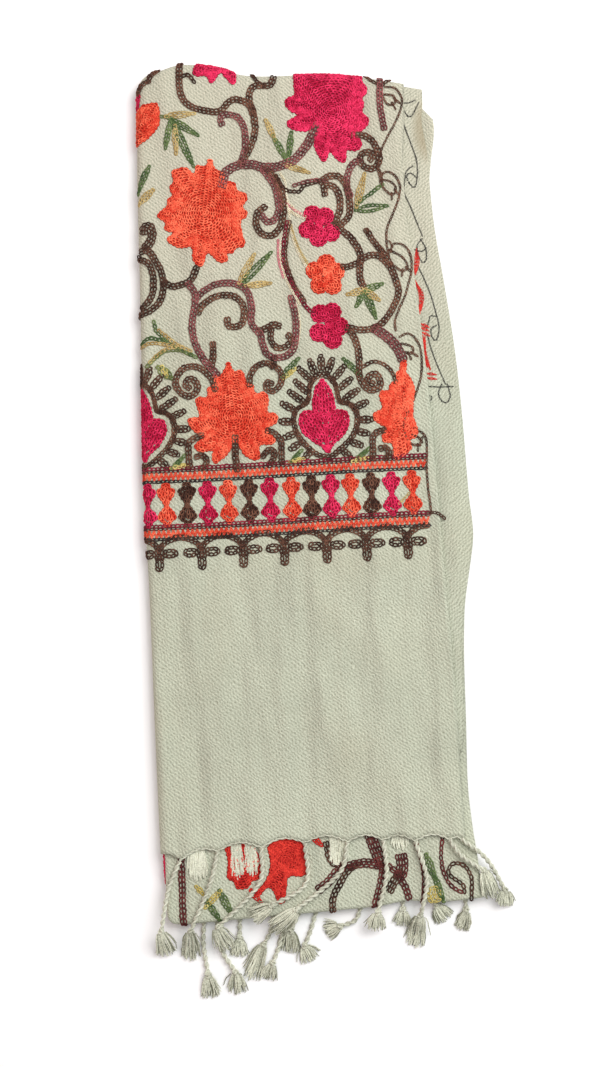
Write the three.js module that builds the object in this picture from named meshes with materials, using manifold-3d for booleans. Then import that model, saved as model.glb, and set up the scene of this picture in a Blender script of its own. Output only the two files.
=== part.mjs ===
// An embroidered wool shawl, folded lengthwise and then over at the far end, lying flat.
// Three stretches of its cloth show, one on the other: the front one, face up, which rolls round the
// left side and the far end; the second one, back up, which shows past the front one's selvedge; and
// the rear one, face up, which shows below the front hem and turns under at the near end. Everything
// between them is one rounded stack of hidden layers, with its open edges on the right. Both cut ends
// have a fringe of twisted and knotted tassels.
//
// Millimetres. +X is to the right across the shawl, +Y runs along it to the far fold, +Z is up, and
// the origin is on the underside, in the middle of the stack.
import * as THREE from "three";
import { mergeVertices } from "three/addons/utils/BufferGeometryUtils.js";
import Module from "manifold-3d";

const wasm = await Module();
wasm.setup();

// ---- sizes --------------------------------------------------------------------------------------
const CLOTH = 1.2; // thickness of one layer of cloth
const AIR = 0.3; // between layers that lie on each other
const LAYER = CLOTH + AIR;
const EDGE_HEIGHT = 13.4; // of the folded stack at its edges
const CROWN = 1.1; // how much higher its middle is
const CROWN_RUN = 85; // over which it rises from an edge
const CROWN_START = 12; // from a rolled edge
const LIP = 4; // how far a rolled edge runs on underneath
const REAR_FOOT = 4.5; // height at which the rear cloth turns under
const DROOP = 1.2; // of the open edges, past the hidden layers
const DROOP_RUN = 6;
const DROOP_MOST = 2.2;

// ---- outlines: each row is a point that the edge passes -------------------------------------------
const LEFT_EDGE = [
  { y: -340, x: -123.5 },
  { y: -200, x: -124 },
  { y: -75, x: -124 },
  { y: -30, x: -125 },
  { y: 60, x: -123.5 },
  { y: 150, x: -121.5 },
  { y: 240, x: -120 },
  { y: 300, x: -117.5 },
  { y: 340, x: -116 },
];
const FAR_EDGE = [
  { x: -125, y: 325 },
  { x: -104, y: 329 },
  { x: -84, y: 334.5 },
  { x: -66, y: 333.5 },
  { x: -50, y: 330 },
  { x: -36, y: 324.5 },
  { x: -18, y: 322 },
  { x: 30, y: 321 },
  { x: 60, y: 317 },
  { x: 85, y: 312 },
  { x: 110, y: 306.5 },
];
const NEAR_EDGE = [
  { x: -125, y: -336 },
  { x: -97, y: -334 },
  { x: -50, y: -332 },
  { x: 0, y: -330 },
  { x: 40, y: -328 },
  { x: 62, y: -325 },
  { x: 80, y: -327.5 },
  { x: 120, y: -325.5 },
];
const FRONT_SELVEDGE = [
  { y: -290, x: 107 },
  { y: -170, x: 106 },
  { y: -40, x: 102 },
  { y: 60, x: 99 },
  { y: 150, x: 93.5 },
  { y: 200, x: 90 },
  { y: 235, x: 89 },
  { y: 270, x: 92 },
  { y: 345, x: 95 },
];
const SECOND_SELVEDGE = [
  { y: -220, x: 108 },
  { y: -193, x: 111.5 },
  { y: -133, x: 114 },
  { y: -100, x: 118 },
  { y: -75, x: 123 },
  { y: -50, x: 127 },
  { y: -20, x: 125.5 },
  { y: 50, x: 123.8 },
  { y: 100, x: 121 },
  { y: 150, x: 116 },
  { y: 190, x: 111.5 },
  { y: 220, x: 109.8 },
  { y: 250, x: 109 },
  { y: 278, x: 106 },
  { y: 292, x: 107.5 },
  { y: 345, x: 108.5 },
];
const REAR_SELVEDGE = [
  { y: -340, x: 118.5 },
  { y: -300, x: 116 },
  { y: -270, x: 113 },
  { y: -240, x: 111.5 },
  { y: -193, x: 113 },
  { y: -133, x: 115 },
  { y: -50, x: 121.5 },
  { y: 50, x: 120.5 },
  { y: 100, x: 118 },
  { y: 160, x: 112.5 },
  { y: 215, x: 108.5 },
  { y: 245, x: 111.5 },
  { y: 265, x: 115 },
  { y: 278, x: 115.5 },
  { y: 285, x: 112.5 },
  { y: 289, x: 107 },
];
const SECOND_HEM_Y = -216;
const SECOND_LEFT_X = -106; // where the second cloth runs into the fold
const REAR_FAR_Y = 289; // where the rear cloth ends, under the far fold

// ---- soft folds of the front cloth: each runs from one point to another -----------------------------
const FRONT_FOLDS = [
  { x0: 22, y0: -80, x1: 30, y1: -292, width: 17, rise: 1.0 },
  { x0: 58, y0: -120, x1: 66, y1: -292, width: 15, rise: 0.9 },
  { x0: -70, y0: -150, x1: -62, y1: -292, width: 20, rise: 0.7 },
  { x0: -98, y0: 318, x1: -78, y1: 225, width: 24, rise: 0.9 },
  { x0: 74, y0: 300, x1: 84, y1: -60, width: 13, rise: 0.7 },
  { x0: -20, y0: 300, x1: 30, y1: 120, width: 26, rise: 0.6 },
];

// ---- the fringes: a tassel leaves the hem at its root, and passes its knee, its knot and its tip ----
const ROPE_RADIUS = 1.9;
const KNOT_RADIUS = 3.1;
const LOCK_RADIUS = 1.5;
const FRINGE_LIFT = 1.8; // of the front tassels over the rear cloth, where brushes lie between
const REAR_FRINGE_TOP = 5.4; // of the rear knots and what lies on them
const FLOOR_AIR = 0.3;
const FRONT_TASSELS = [
  { rootX: -109, rootY: -286, kneeX: -118.5, kneeY: -308, knotX: -125, knotY: -338, tipX: -122, tipY: -357, rest: 0 },
  { rootX: -80, rootY: -280, kneeX: -87, kneeY: -305, knotX: -103, knotY: -339, tipX: -105, tipY: -361, rest: 0 },
  { rootX: -47, rootY: -279, kneeX: -50, kneeY: -306, knotX: -82, knotY: -337, tipX: -76, tipY: -355, rest: 1 },
  { rootX: -14, rootY: -277, kneeX: -15, kneeY: -308, knotX: -41, knotY: -323, tipX: -57, tipY: -331, rest: 1 },
  { rootX: 18, rootY: -278, kneeX: 11, kneeY: -301, knotX: -23, knotY: -327, tipX: -42, tipY: -342, rest: 1 },
  { rootX: 45, rootY: -278, kneeX: 46, kneeY: -304, knotX: 38, knotY: -332, tipX: 36, tipY: -346, rest: 1 },
  { rootX: 69, rootY: -280, kneeX: 76, kneeY: -309, knotX: 70, knotY: -336, tipX: 65, tipY: -360, rest: 0 },
  { rootX: 95, rootY: -280, kneeX: 103, kneeY: -293, knotX: 119, knotY: -305, tipX: 125, tipY: -326, rest: 0 },
  { rootX: 104, rootY: -280, kneeX: 122, kneeY: -297, knotX: 135, knotY: -321, tipX: 134, tipY: -333, rest: 0 },
];
const HEM_SCALLOP = 5; // how far the front hem rises between two tassels
const HEM_SCALLOP_SPAN = 30; // between tassels, for that rise
const HEM_LEFT = { x: -124, y: -281 };
const HEM_RIGHT = { x: 107, y: -279 };
const REAR_TASSELS = [
  { rootX: -93, kneeX: -94.5, kneeY: -350, knotX: -92, knotY: -373, tipX: -90, tipY: -390 },
  { rootX: -84, kneeX: -82, kneeY: -353, knotX: -71.5, knotY: -372, tipX: -71, tipY: -388 },
  { rootX: -66, kneeX: -66.5, kneeY: -338, knotX: -67, knotY: -347, tipX: -68, tipY: -361 },
  { rootX: -40, kneeX: -43, kneeY: -342, knotX: -49, knotY: -353, tipX: -60, tipY: -378 },
  { rootX: -31, kneeX: -36, kneeY: -350, knotX: -43, knotY: -367, tipX: -47, tipY: -379 },
  { rootX: -20, kneeX: -23, kneeY: -334, knotX: -28, knotY: -343, tipX: -29, tipY: -360 },
  { rootX: -7, kneeX: -12, kneeY: -341, knotX: -18, knotY: -355, tipX: -14, tipY: -367 },
  { rootX: 27, kneeX: 21, kneeY: -338, knotX: 9, knotY: -342, tipX: -2, tipY: -346 },
  { rootX: 57, kneeX: 57.5, kneeY: -326, knotX: 57.5, knotY: -332, tipX: 56, tipY: -344 },
  { rootX: 80, kneeX: 81, kneeY: -325, knotX: 83, knotY: -330, tipX: 91, tipY: -341 },
  { rootX: 104, kneeX: 105, kneeY: -329, knotX: 105, knotY: -335, tipX: 100, tipY: -349 },
];
const REAR_HEM_Y = -321;
const SECOND_BRUSHES = [
  { x: -95, width: 13, tipY: -306 },
  { x: -65, width: 8, tipY: -300 },
  { x: -54, width: 8, tipY: -298 },
  { x: 9.5, width: 12, tipY: -296 },
  { x: 58, width: 12, tipY: -286 },
];
const SECOND_BRUSH_ROOT_Y = -264;

// ---- small helpers ----------------------------------------------------------------------------------
const clamp = (value, low, high) => Math.min(Math.max(value, low), high);
const mix = (from, to, share) => from + (to - from) * share;
function smooth(from, to, value) {
  const share = clamp((value - from) / (to - from), 0, 1);
  return share * share * (3 - 2 * share);
}
const fractions = (count) => Array.from({ length: count + 1 }, (_, i) => i / count);

// The `to` column of a table where its `from` column is `at`, on a smooth curve through the rows.
function read(table, from, to, at) {
  const last = table.length - 1;
  const place = clamp(at, table[0][from], table[last][from]);
  let row = 0;
  while (row < last - 1 && table[row + 1][from] < place) row++;
  const slope = (i) => {
    const before = table[Math.max(i - 1, 0)];
    const after = table[Math.min(i + 1, last)];
    return (after[to] - before[to]) / (after[from] - before[from]);
  };
  const span = table[row + 1][from] - table[row][from];
  const t = (place - table[row][from]) / span;
  const ease = t * t * (3 - 2 * t);
  const leave = t * (1 - t) * (1 - t) * span * slope(row);
  const arrive = t * t * (1 - t) * span * slope(row + 1);
  return mix(table[row][to], table[row + 1][to], ease) + leave - arrive;
}
const leftEdge = (y) => read(LEFT_EDGE, "y", "x", y);
const farEdge = (x) => read(FAR_EDGE, "x", "y", x);
const nearEdge = (x) => read(NEAR_EDGE, "x", "y", x);
const openEdge = (y) => read(REAR_SELVEDGE, "y", "x", y);

// How much the stack rises above its edge height at a place, and how much its open edge droops.
function crown(x, y) {
  const insets = [
    x - leftEdge(y) - CROWN_START,
    farEdge(x) - y - CROWN_START,
    y - nearEdge(x) - CROWN_START,
    openEdge(y) - x,
  ];
  const rise = insets.reduce((share, inset) => share * smooth(0, CROWN_RUN, inset), CROWN);
  const past = clamp((x - openEdge(y) + DROOP_RUN) / DROOP_RUN, 0, 2);
  return rise - Math.min(DROOP * past * past, DROOP_MOST);
}

// How much the soft folds lift the front cloth.
function foldLift(x, y) {
  let lift = 0;
  for (const fold of FRONT_FOLDS) {
    const run = new THREE.Vector2(fold.x1 - fold.x0, fold.y1 - fold.y0);
    const to = new THREE.Vector2(x - fold.x0, y - fold.y0);
    const share = to.dot(run) / run.lengthSq();
    const off = Math.abs(to.cross(run)) / run.length();
    const ends = smooth(-0.15, 0.25, share) * smooth(1.15, 0.75, share);
    lift += fold.rise * ends * (1 - smooth(0, fold.width, off));
  }
  return lift;
}

// ---- the three cloths that show -----------------------------------------------------------------------
// side and far are how far inside the stack's outline a cloth's rolled edges lie, corner is the radius
// between them seen from above, and toward says at which end it rolls: 1 the far one, -1 the near one.
const FRONT = { top: EDGE_HEIGHT, foot: 0, side: 0, inset: 0, corner: 18, toward: 1, lift: foldLift };
const SECOND = {
  top: EDGE_HEIGHT - LAYER,
  foot: LAYER,
  side: LAYER,
  inset: 2.1,
  corner: 18,
  toward: 1,
  lift: () => 0,
};
const REAR = {
  top: EDGE_HEIGHT - 2 * LAYER - 0.25,
  foot: REAR_FOOT,
  side: 2 * LAYER,
  inset: 0,
  corner: 8,
  toward: -1,
  lift: () => 0,
};
const CORNER_X = -100; // past these the edges run straight on, so that corners are round
const FAR_CORNER_Y = 305;
const NEAR_CORNER_Y = -322;
const rollRadius = (cloth) => (cloth.top - cloth.foot) / 2;
const sideTangent = (cloth, y) => leftEdge(y) + cloth.side + rollRadius(cloth);
const outerEnd = (cloth, x) => (cloth.toward > 0 ? farEdge(x) : nearEdge(x)) - cloth.toward * cloth.inset;
const endTangent = (cloth, x) => outerEnd(cloth, x) - cloth.toward * rollRadius(cloth);
const topOf = (cloth, x, y) => cloth.top + crown(x, y) + cloth.lift(x, y);

// A point of a cloth. across and along are measured on the cloth: on its flat part they are x and y,
// and past a tangent line they go on round the roll. inward is the depth below its outer face.
function clothPoint(cloth, across, along, inward) {
  const radius = rollRadius(cloth);
  const reach = cloth.corner - radius;
  const centreX = leftEdge(clamp(along, NEAR_CORNER_Y, FAR_CORNER_Y)) + cloth.side + cloth.corner;
  const centreY = outerEnd(cloth, Math.max(across, CORNER_X)) - cloth.toward * cloth.corner;
  const overSide = Math.max(0, centreX - across);
  const overEnd = Math.max(0, (along - centreY) * cloth.toward);
  const over = Math.max(overSide, overEnd);
  const beyond = over - reach;
  const angle = clamp(beyond / radius, 0, Math.PI);
  const lip = Math.max(0, beyond - Math.PI * radius);
  const out = Math.min(over, reach) + (radius - inward) * Math.sin(angle) - lip;
  const share = over > 0 ? Math.min(overSide, overEnd) / over : 0;
  const turn = overSide >= overEnd ? (share * Math.PI) / 4 : ((2 - share) * Math.PI) / 4;
  const x = overSide > 0 ? centreX - out * Math.cos(turn) : across;
  const y = overEnd > 0 ? centreY + cloth.toward * out * Math.sin(turn) : along;
  const rolled = (cloth.top + cloth.foot) / 2 + (radius - inward) * Math.cos(angle);
  return [x, y, beyond > 0 ? rolled : topOf(cloth, x, y) - inward];
}

// How far round a roll its rows or columns lie, from the tangent line to the end of the lip.
function rollSteps(cloth, count) {
  const round = Math.PI * rollRadius(cloth);
  return [...fractions(count).slice(1).map((share) => share * round), round + LIP];
}

// A closed wall: a grid of outer points, the same grid one cloth thickness inside, and the four edges.
// place(column, row) gives a grid point's across and along.
function wall(cloth, columns, rows, place) {
  const positions = [];
  for (const inward of [0, CLOTH])
    for (const row of rows)
      for (const column of columns) positions.push(...clothPoint(cloth, ...place(column, row), inward));
  const wide = columns.length;
  const high = rows.length;
  const at = (side, row, column) => (side * high + row) * wide + column;
  const faces = [];
  const quad = (a, b, c, d) => faces.push(a, b, c, a, c, d);
  for (let r = 0; r + 1 < high; r++)
    for (let c = 0; c + 1 < wide; c++) {
      quad(at(0, r, c), at(0, r, c + 1), at(0, r + 1, c + 1), at(0, r + 1, c));
      quad(at(1, r, c), at(1, r + 1, c), at(1, r + 1, c + 1), at(1, r, c + 1));
    }
  const rim = [
    ...columns.slice(1).map((_, c) => [0, c]),
    ...rows.slice(1).map((_, r) => [r, wide - 1]),
    ...columns.slice(1).map((_, c) => [high - 1, wide - 1 - c]),
    ...rows.slice(1).map((_, r) => [high - 1 - r, 0]),
  ];
  rim.forEach(([r, c], i) => {
    const [nextR, nextC] = rim[(i + 1) % rim.length];
    quad(at(0, r, c), at(1, r, c), at(1, nextR, nextC), at(0, nextR, nextC));
  });
  return outwards(positions, faces);
}

// A geometry with its faces turned outwards.
function outwards(positions, faces) {
  let volume = 0;
  const corner = (i) => new THREE.Vector3().fromArray(positions, faces[i] * 3);
  for (let i = 0; i < faces.length; i += 3)
    volume += corner(i).dot(corner(i + 1).cross(corner(i + 2)));
  if (volume < 0) for (let i = 0; i < faces.length; i += 3) [faces[i], faces[i + 1]] = [faces[i + 1], faces[i]];
  const geometry = new THREE.BufferGeometry();
  geometry.setAttribute("position", new THREE.Float32BufferAttribute(positions, 3));
  geometry.setIndex(faces);
  return geometry;
}

// The front hem rises in a shallow arch between each two tassels.
const HEM_POINTS = [HEM_LEFT, ...FRONT_TASSELS.map((t) => ({ x: t.rootX, y: t.rootY })), HEM_RIGHT];
function hemAt(x) {
  const place = clamp(x, HEM_LEFT.x, HEM_RIGHT.x);
  const next = HEM_POINTS.findIndex((point, i) => i > 0 && place <= point.x);
  const [from, to] = [HEM_POINTS[next - 1], HEM_POINTS[next]];
  const share = (place - from.x) / (to.x - from.x);
  const arch = HEM_SCALLOP * Math.min(1, (to.x - from.x) / HEM_SCALLOP_SPAN);
  return mix(from.y, to.y, share) + arch * Math.sin(share * Math.PI);
}

const ARCH_STEPS = 3;
const ROLL_STEPS = 6;
const EDGE_SHARES = [0, 0.01, 0.022, 0.045]; // finer where an open edge droops
const across = (count) => [...EDGE_SHARES, ...fractions(count).slice(1).map((share) => mix(0.045, 1, share))];
const flatPlace = (share, edge, tangent) => mix(edge, tangent, share);

function frontCloth() {
  const tangentAtHem = sideTangent(FRONT, HEM_RIGHT.y);
  const hemSpan = HEM_RIGHT.x - tangentAtHem;
  const flat = [1, ...EDGE_SHARES];
  for (let i = 1; i < HEM_POINTS.length; i++)
    for (const share of fractions(ARCH_STEPS).slice(1)) {
      const x = mix(HEM_POINTS[i - 1].x, HEM_POINTS[i].x, share);
      const column = (HEM_RIGHT.x - x) / hemSpan;
      if (column > 0.06 && column < 0.97) flat.push(column);
    }
  flat.sort((a, b) => a - b);
  const columns = [...flat.map((share) => ({ share })), ...rollSteps(FRONT, ROLL_STEPS).map((roll) => ({ roll }))];
  const rows = [...fractions(18).map((share) => ({ share })), ...rollSteps(FRONT, ROLL_STEPS).map((roll) => ({ roll }))];
  return wall(FRONT, columns, rows, (column, row) => {
    const hemX = column.roll ? HEM_LEFT.x : mix(HEM_RIGHT.x, tangentAtHem, column.share);
    const along = (x) =>
      row.roll ? endTangent(FRONT, x) + row.roll : flatPlace(row.share, hemAt(hemX), endTangent(FRONT, x));
    const y = along(hemX);
    const x = column.roll
      ? sideTangent(FRONT, y) - column.roll
      : flatPlace(column.share, read(FRONT_SELVEDGE, "y", "x", y), sideTangent(FRONT, y));
    return [x, along(x)];
  });
}

function secondCloth() {
  const columns = across(12).map((share) => ({ share }));
  const rows = [...fractions(20).map((share) => ({ share })), ...rollSteps(SECOND, ROLL_STEPS).map((roll) => ({ roll }))];
  return wall(SECOND, columns, rows, (column, row) => {
    const along = (x) =>
      row.roll ? endTangent(SECOND, x) + row.roll : flatPlace(row.share, SECOND_HEM_Y, endTangent(SECOND, x));
    const guess = mix(SECOND_SELVEDGE[0].x, SECOND_LEFT_X, column.share);
    const x = flatPlace(column.share, read(SECOND_SELVEDGE, "y", "x", along(guess)), SECOND_LEFT_X);
    return [x, along(x)];
  });
}

function rearCloth() {
  const columns = [
    ...across(7).map((share) => ({ share })),
    ...rollSteps(REAR, ROLL_STEPS).map((roll) => ({ roll })),
  ];
  const far = [0, 0.004, 0.011, 0.02, 0.04];
  const near = fractions(18).slice(1).map((share) => mix(0.04, 1, share));
  const rows = [
    ...[...far, ...near].map((share) => ({ share })),
    ...rollSteps(REAR, ROLL_STEPS).map((roll) => ({ roll })),
  ];
  return wall(REAR, columns, rows, (column, row) => {
    const along = (x) =>
      row.roll ? endTangent(REAR, x) - row.roll : flatPlace(row.share, REAR_FAR_Y, endTangent(REAR, x));
    const guess = column.roll ? LEFT_EDGE[0].x : mix(openEdge(0), LEFT_EDGE[0].x, column.share);
    const y = along(guess);
    const x = column.roll
      ? sideTangent(REAR, y) - column.roll
      : flatPlace(column.share, openEdge(y), sideTangent(REAR, y));
    return [x, along(x)];
  });
}

// ---- the hidden layers --------------------------------------------------------------------------------
// One solid, as rings around it. left, far, near and open are how far each ring lies inside the outline.
// On the open side the layers' folded edges bulge between grooves.
const STACK_RINGS = [
  { z: 0, left: 12, far: 12, near: 12, open: 8.6 },
  { z: 0.7, left: 11.6, far: 11.8, near: 10.6, open: 6.9 },
  { z: 1.5, left: 11.4, far: 12.3, near: 10.4, open: 8.4 },
  { z: 1.6, left: 7.2, far: 12.3, near: 10.2, open: 8.2 },
  { z: 2.9, left: 4.9, far: 12.2, near: 10, open: 6.6 },
  { z: 4.1, left: 6.6, far: 6, near: 10.1, open: 8.3 },
  { z: 4.2, left: 10.4, far: 5.8, near: 8.2, open: 8.5 },
  { z: 5.9, left: 10.5, far: 4.5, near: 8.3, open: 8.4 },
  { z: 6.1, left: 6.8, far: 4.4, near: 3.9, open: 8.1 },
  { z: 7.25, left: 5.3, far: 4.3, near: 1.9, open: 6.6 },
  { z: 8.3, left: 7.2, far: 4.8, near: 3.4, open: 7.6 },
  { z: 8.5, left: 12, far: 12, near: 12, open: 12 },
  { z: 8.5, left: 30, far: 30, near: 30, open: 30, crowned: true },
  { z: 8.5, left: 60, far: 60, near: 60, open: 60, crowned: true },
];
const STACK_TIERS = [
  { fromZ: 0, wave: 1.6, length: 190, shift: 0.4 },
  { fromZ: 1.55, wave: 1.3, length: 150, shift: 2.1 },
  { fromZ: 5, wave: 1.2, length: 230, shift: 4.4 },
];
const FAR_LEFT_CORNER = 18;
const NEAR_LEFT_CORNER = 11;
const OPEN_CORNER = 7;
const SHARPEST_CORNER = 1.2;
const CORNER_STEPS = 4;

function stackRing(ring) {
  const points = [];
  const tier = STACK_TIERS.findLast((t) => ring.z >= t.fromZ);
  const wave = (y) => tier.wave * (0.5 + 0.5 * Math.sin((y * 2 * Math.PI) / tier.length + tier.shift));
  const open = (y) => openEdge(y) - ring.open - wave(y);
  const left = (y) => leftEdge(y) + ring.left;
  const far = (x) => farEdge(x) - ring.far;
  const near = (x) => nearEdge(x) + ring.near;
  const round = (radius, inset) => Math.max(SHARPEST_CORNER, radius - inset);
  const farLeft = round(FAR_LEFT_CORNER, ring.left);
  const nearLeft = round(NEAR_LEFT_CORNER, ring.left);
  const farOpen = round(OPEN_CORNER, 0);
  const nearY = near(100) + farOpen;
  const farY = far(90) - farOpen;
  // anticlockwise from the near right corner: each side is walked between the two corners' centres
  const corner = (x, y, radius, from) => {
    for (const share of fractions(CORNER_STEPS)) {
      const angle = from + (share * Math.PI) / 2;
      points.push([x + radius * Math.cos(angle), y + radius * Math.sin(angle)]);
    }
  };
  const side = (count, point) => fractions(count).slice(1, -1).forEach((share) => points.push(point(share)));
  const rightFarX = open(farY) - farOpen;
  const rightNearX = open(nearY) - farOpen;
  const leftFarX = left(FAR_CORNER_Y) + farLeft;
  const leftNearX = left(NEAR_CORNER_Y) + nearLeft;
  const leftFarY = far(CORNER_X) - farLeft;
  const leftNearY = near(CORNER_X) + nearLeft;
  const openRun = (share) => mix(nearY, farY, share);
  side(24, (share) => [open(openRun(share)), openRun(share)]);
  corner(rightFarX, far(rightFarX) - farOpen, farOpen, 0);
  side(12, (share) => [mix(rightFarX, leftFarX, share), far(mix(rightFarX, leftFarX, share))]);
  corner(leftFarX, leftFarY, farLeft, Math.PI / 2);
  side(10, (share) => [left(mix(leftFarY, leftNearY, share)), mix(leftFarY, leftNearY, share)]);
  corner(leftNearX, leftNearY, nearLeft, Math.PI);
  side(6, (share) => [mix(leftNearX, rightNearX, share), near(mix(leftNearX, rightNearX, share))]);
  corner(rightNearX, near(rightNearX) + farOpen, farOpen, 1.5 * Math.PI);
  return points.map(([x, y]) => [x, y, ring.z + (ring.crowned ? Math.max(0, crown(x, y)) : 0)]);
}

function foldedStack() {
  const rings = STACK_RINGS.map(stackRing);
  const count = rings[0].length;
  const faces = [];
  for (let k = 0; k + 1 < rings.length; k++)
    for (let i = 0; i < count; i++) {
      const [a, b] = [k * count + i, k * count + ((i + 1) % count)];
      faces.push(a, b, b + count, a, b + count, a + count);
    }
  const cap = (ring) => THREE.ShapeUtils.triangulateShape(ring.map(([x, y]) => new THREE.Vector2(x, y)), []);
  const last = (rings.length - 1) * count;
  for (const [a, b, c] of cap(rings[0])) faces.push(a, c, b);
  for (const [a, b, c] of cap(rings.at(-1))) faces.push(a + last, b + last, c + last);
  return outwards(rings.flat(2), faces);
}

// ---- the fringes ----------------------------------------------------------------------------------------
// A closed strand along points, each with its half width and half thickness, of four sides.
function strand(points) {
  const up = new THREE.Vector3(0, 0, 1);
  const centres = points.map((p) => new THREE.Vector3(p.x, p.y, p.z));
  const positions = [];
  centres.forEach((centre, i) => {
    const along = centres[Math.min(i + 1, centres.length - 1)].clone().sub(centres[Math.max(i - 1, 0)]).normalize();
    const across = new THREE.Vector3().crossVectors(along, up).normalize();
    const over = new THREE.Vector3().crossVectors(across, along);
    for (const [side, high] of [[1, 0], [0, 1], [-1, 0], [0, -1]])
      positions.push(
        ...centre.clone().addScaledVector(across, side * points[i].wide).addScaledVector(over, high * points[i].thick),
      );
  });
  const faces = [];
  for (let k = 0; k + 1 < centres.length; k++)
    for (let i = 0; i < 4; i++) {
      const [a, b] = [k * 4 + i, k * 4 + ((i + 1) % 4)];
      faces.push(a, b, b + 4, a, b + 4, a + 4);
    }
  const last = (centres.length - 1) * 4;
  faces.push(0, 2, 1, 0, 3, 2, last, last + 1, last + 2, last, last + 2, last + 3);
  return outwards(positions, faces);
}

function toSolid(geometry) {
  const merged = mergeVertices(geometry, 1e-4);
  const mesh = new wasm.Mesh({
    numProp: 3,
    vertProperties: merged.attributes.position.array,
    triVerts: new Uint32Array(merged.index.array),
  });
  return new wasm.Manifold(mesh);
}

// Joins strands and their backing into one closed geometry.
function fuse(geometries) {
  const joined = geometries.map(toSolid).reduce((a, b) => a.add(b));
  const mesh = joined.getMesh();
  const geometry = new THREE.BufferGeometry();
  geometry.setAttribute("position", new THREE.Float32BufferAttribute(mesh.vertProperties, 3));
  geometry.setIndex(Array.from(mesh.triVerts));
  return geometry;
}

// The rope of a tassel through its root, knee and knot, and the three locks of its brush.
const ROPE_STEPS = 7;
const KNOT_LENGTH = 3.4;
const BRUSH_SPREAD = 4.2; // of the outer locks at the tip
function tassel(row, root, height) {
  const flat = (x, y) => new THREE.Vector3(x, y, 0);
  const [knee, knot, tip] = [flat(row.kneeX, row.kneeY), flat(row.knotX, row.knotY), flat(row.tipX, row.tipY)];
  const curve = new THREE.CatmullRomCurve3([flat(root.x, root.y), knee, knot], false, "centripetal");
  const raise = (point, thick, least) => ({
    x: point.x,
    y: point.y,
    z: Math.max(height(point.x, point.y), least) + thick,
  });
  const rope = fractions(ROPE_STEPS).map((share) => {
    const place = raise(curve.getPointAt(share), ROPE_RADIUS, 0);
    place.z = mix(root.z, place.z, smooth(0, 0.18, share));
    return { ...place, wide: ROPE_RADIUS, thick: ROPE_RADIUS };
  });
  const heading = knot.clone().sub(curve.getPointAt(0.9)).normalize();
  const knotHeight = raise(knot, ROPE_RADIUS, 0).z;
  const thickKnot = [-KNOT_LENGTH, -KNOT_LENGTH * 0.45, KNOT_LENGTH * 0.45, KNOT_LENGTH].map((step, i) => {
    const swell = i === 1 || i === 2 ? KNOT_RADIUS : ROPE_RADIUS * 0.9;
    return {
      x: knot.x + heading.x * step,
      y: knot.y + heading.y * step,
      z: Math.max(knotHeight, KNOT_RADIUS + FLOOR_AIR),
      wide: swell,
      thick: swell * 0.95,
    };
  });
  const brush = tip.clone().sub(knot);
  const aside = new THREE.Vector3(-brush.y, brush.x, 0).normalize();
  const locks = [-1, 0, 1].map((fan) =>
    strand(
      [0, 0.35, 0.7, 1].map((share) => {
        const spread = fan * BRUSH_SPREAD * share ** 0.8;
        const reach = share * (fan === 0 ? 1 : 0.94);
        const point = knot.clone().addScaledVector(brush, reach).addScaledVector(aside, spread);
        const place = raise(point, LOCK_RADIUS + FLOOR_AIR, 0);
        place.z = mix(Math.max(knotHeight, KNOT_RADIUS + FLOOR_AIR), place.z, smooth(0, 0.6, share));
        return { ...place, wide: LOCK_RADIUS * (0.75 + 0.45 * share), thick: LOCK_RADIUS * 0.8 };
      }),
    ),
  );
  return [strand(rope), strand(thickKnot), ...locks];
}

// How far a point lies outside the rear cloth, seen from above; inside it is negative.
const pastRear = (x, y) => Math.max(leftEdge(y) + REAR.side - x, x - openEdge(y), nearEdge(x) - y);

const HEM_CORD = 0.85; // half thickness of the corded hem edge
function frontFringe() {
  const cordX = [HEM_POINTS[1].x];
  for (let i = 1; i < HEM_POINTS.length - 1; i++)
    for (const share of fractions(ARCH_STEPS)) {
      const x = mix(HEM_POINTS[i].x, HEM_POINTS[i + 1].x, share);
      if (x > cordX.at(-1) + 0.5) cordX.push(x);
    }
  const cordPoint = (x) => {
    const y = hemAt(x) - 1.2 * (AIR + HEM_CORD);
    return { x, y, z: topOf(FRONT, x, y) - CLOTH / 2, wide: HEM_CORD, thick: HEM_CORD };
  };
  const height = (row) => (x, y) => {
    const lying = REAR.top + crown(x, y) + FRINGE_LIFT;
    const floor = row.rest ? REAR_FRINGE_TOP : FLOOR_AIR;
    return mix(Math.max(lying, floor), floor, smooth(0, 26, pastRear(x, y)));
  };
  const tassels = FRONT_TASSELS.flatMap((row) => {
    const root = cordPoint(row.rootX);
    return tassel(row, root, height(row));
  });
  return fuse([strand(cordX.map(cordPoint)), ...tassels]);
}

function rearFringe() {
  const strip = { wide: 1.6, thick: 1.4 };
  const stripPoint = (x) => ({ x, y: REAR_HEM_Y + nearEdge(x) - nearEdge(57), z: ROPE_RADIUS + FLOOR_AIR, ...strip });
  const ends = [REAR_TASSELS[0].rootX - 3, REAR_TASSELS.at(-1).rootX + 3];
  const backing = strand(fractions(16).map((share) => stripPoint(mix(...ends, share))));
  const height = () => FLOOR_AIR;
  return fuse([backing, ...REAR_TASSELS.flatMap((row) => tassel(row, stripPoint(row.rootX), height))]);
}

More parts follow.
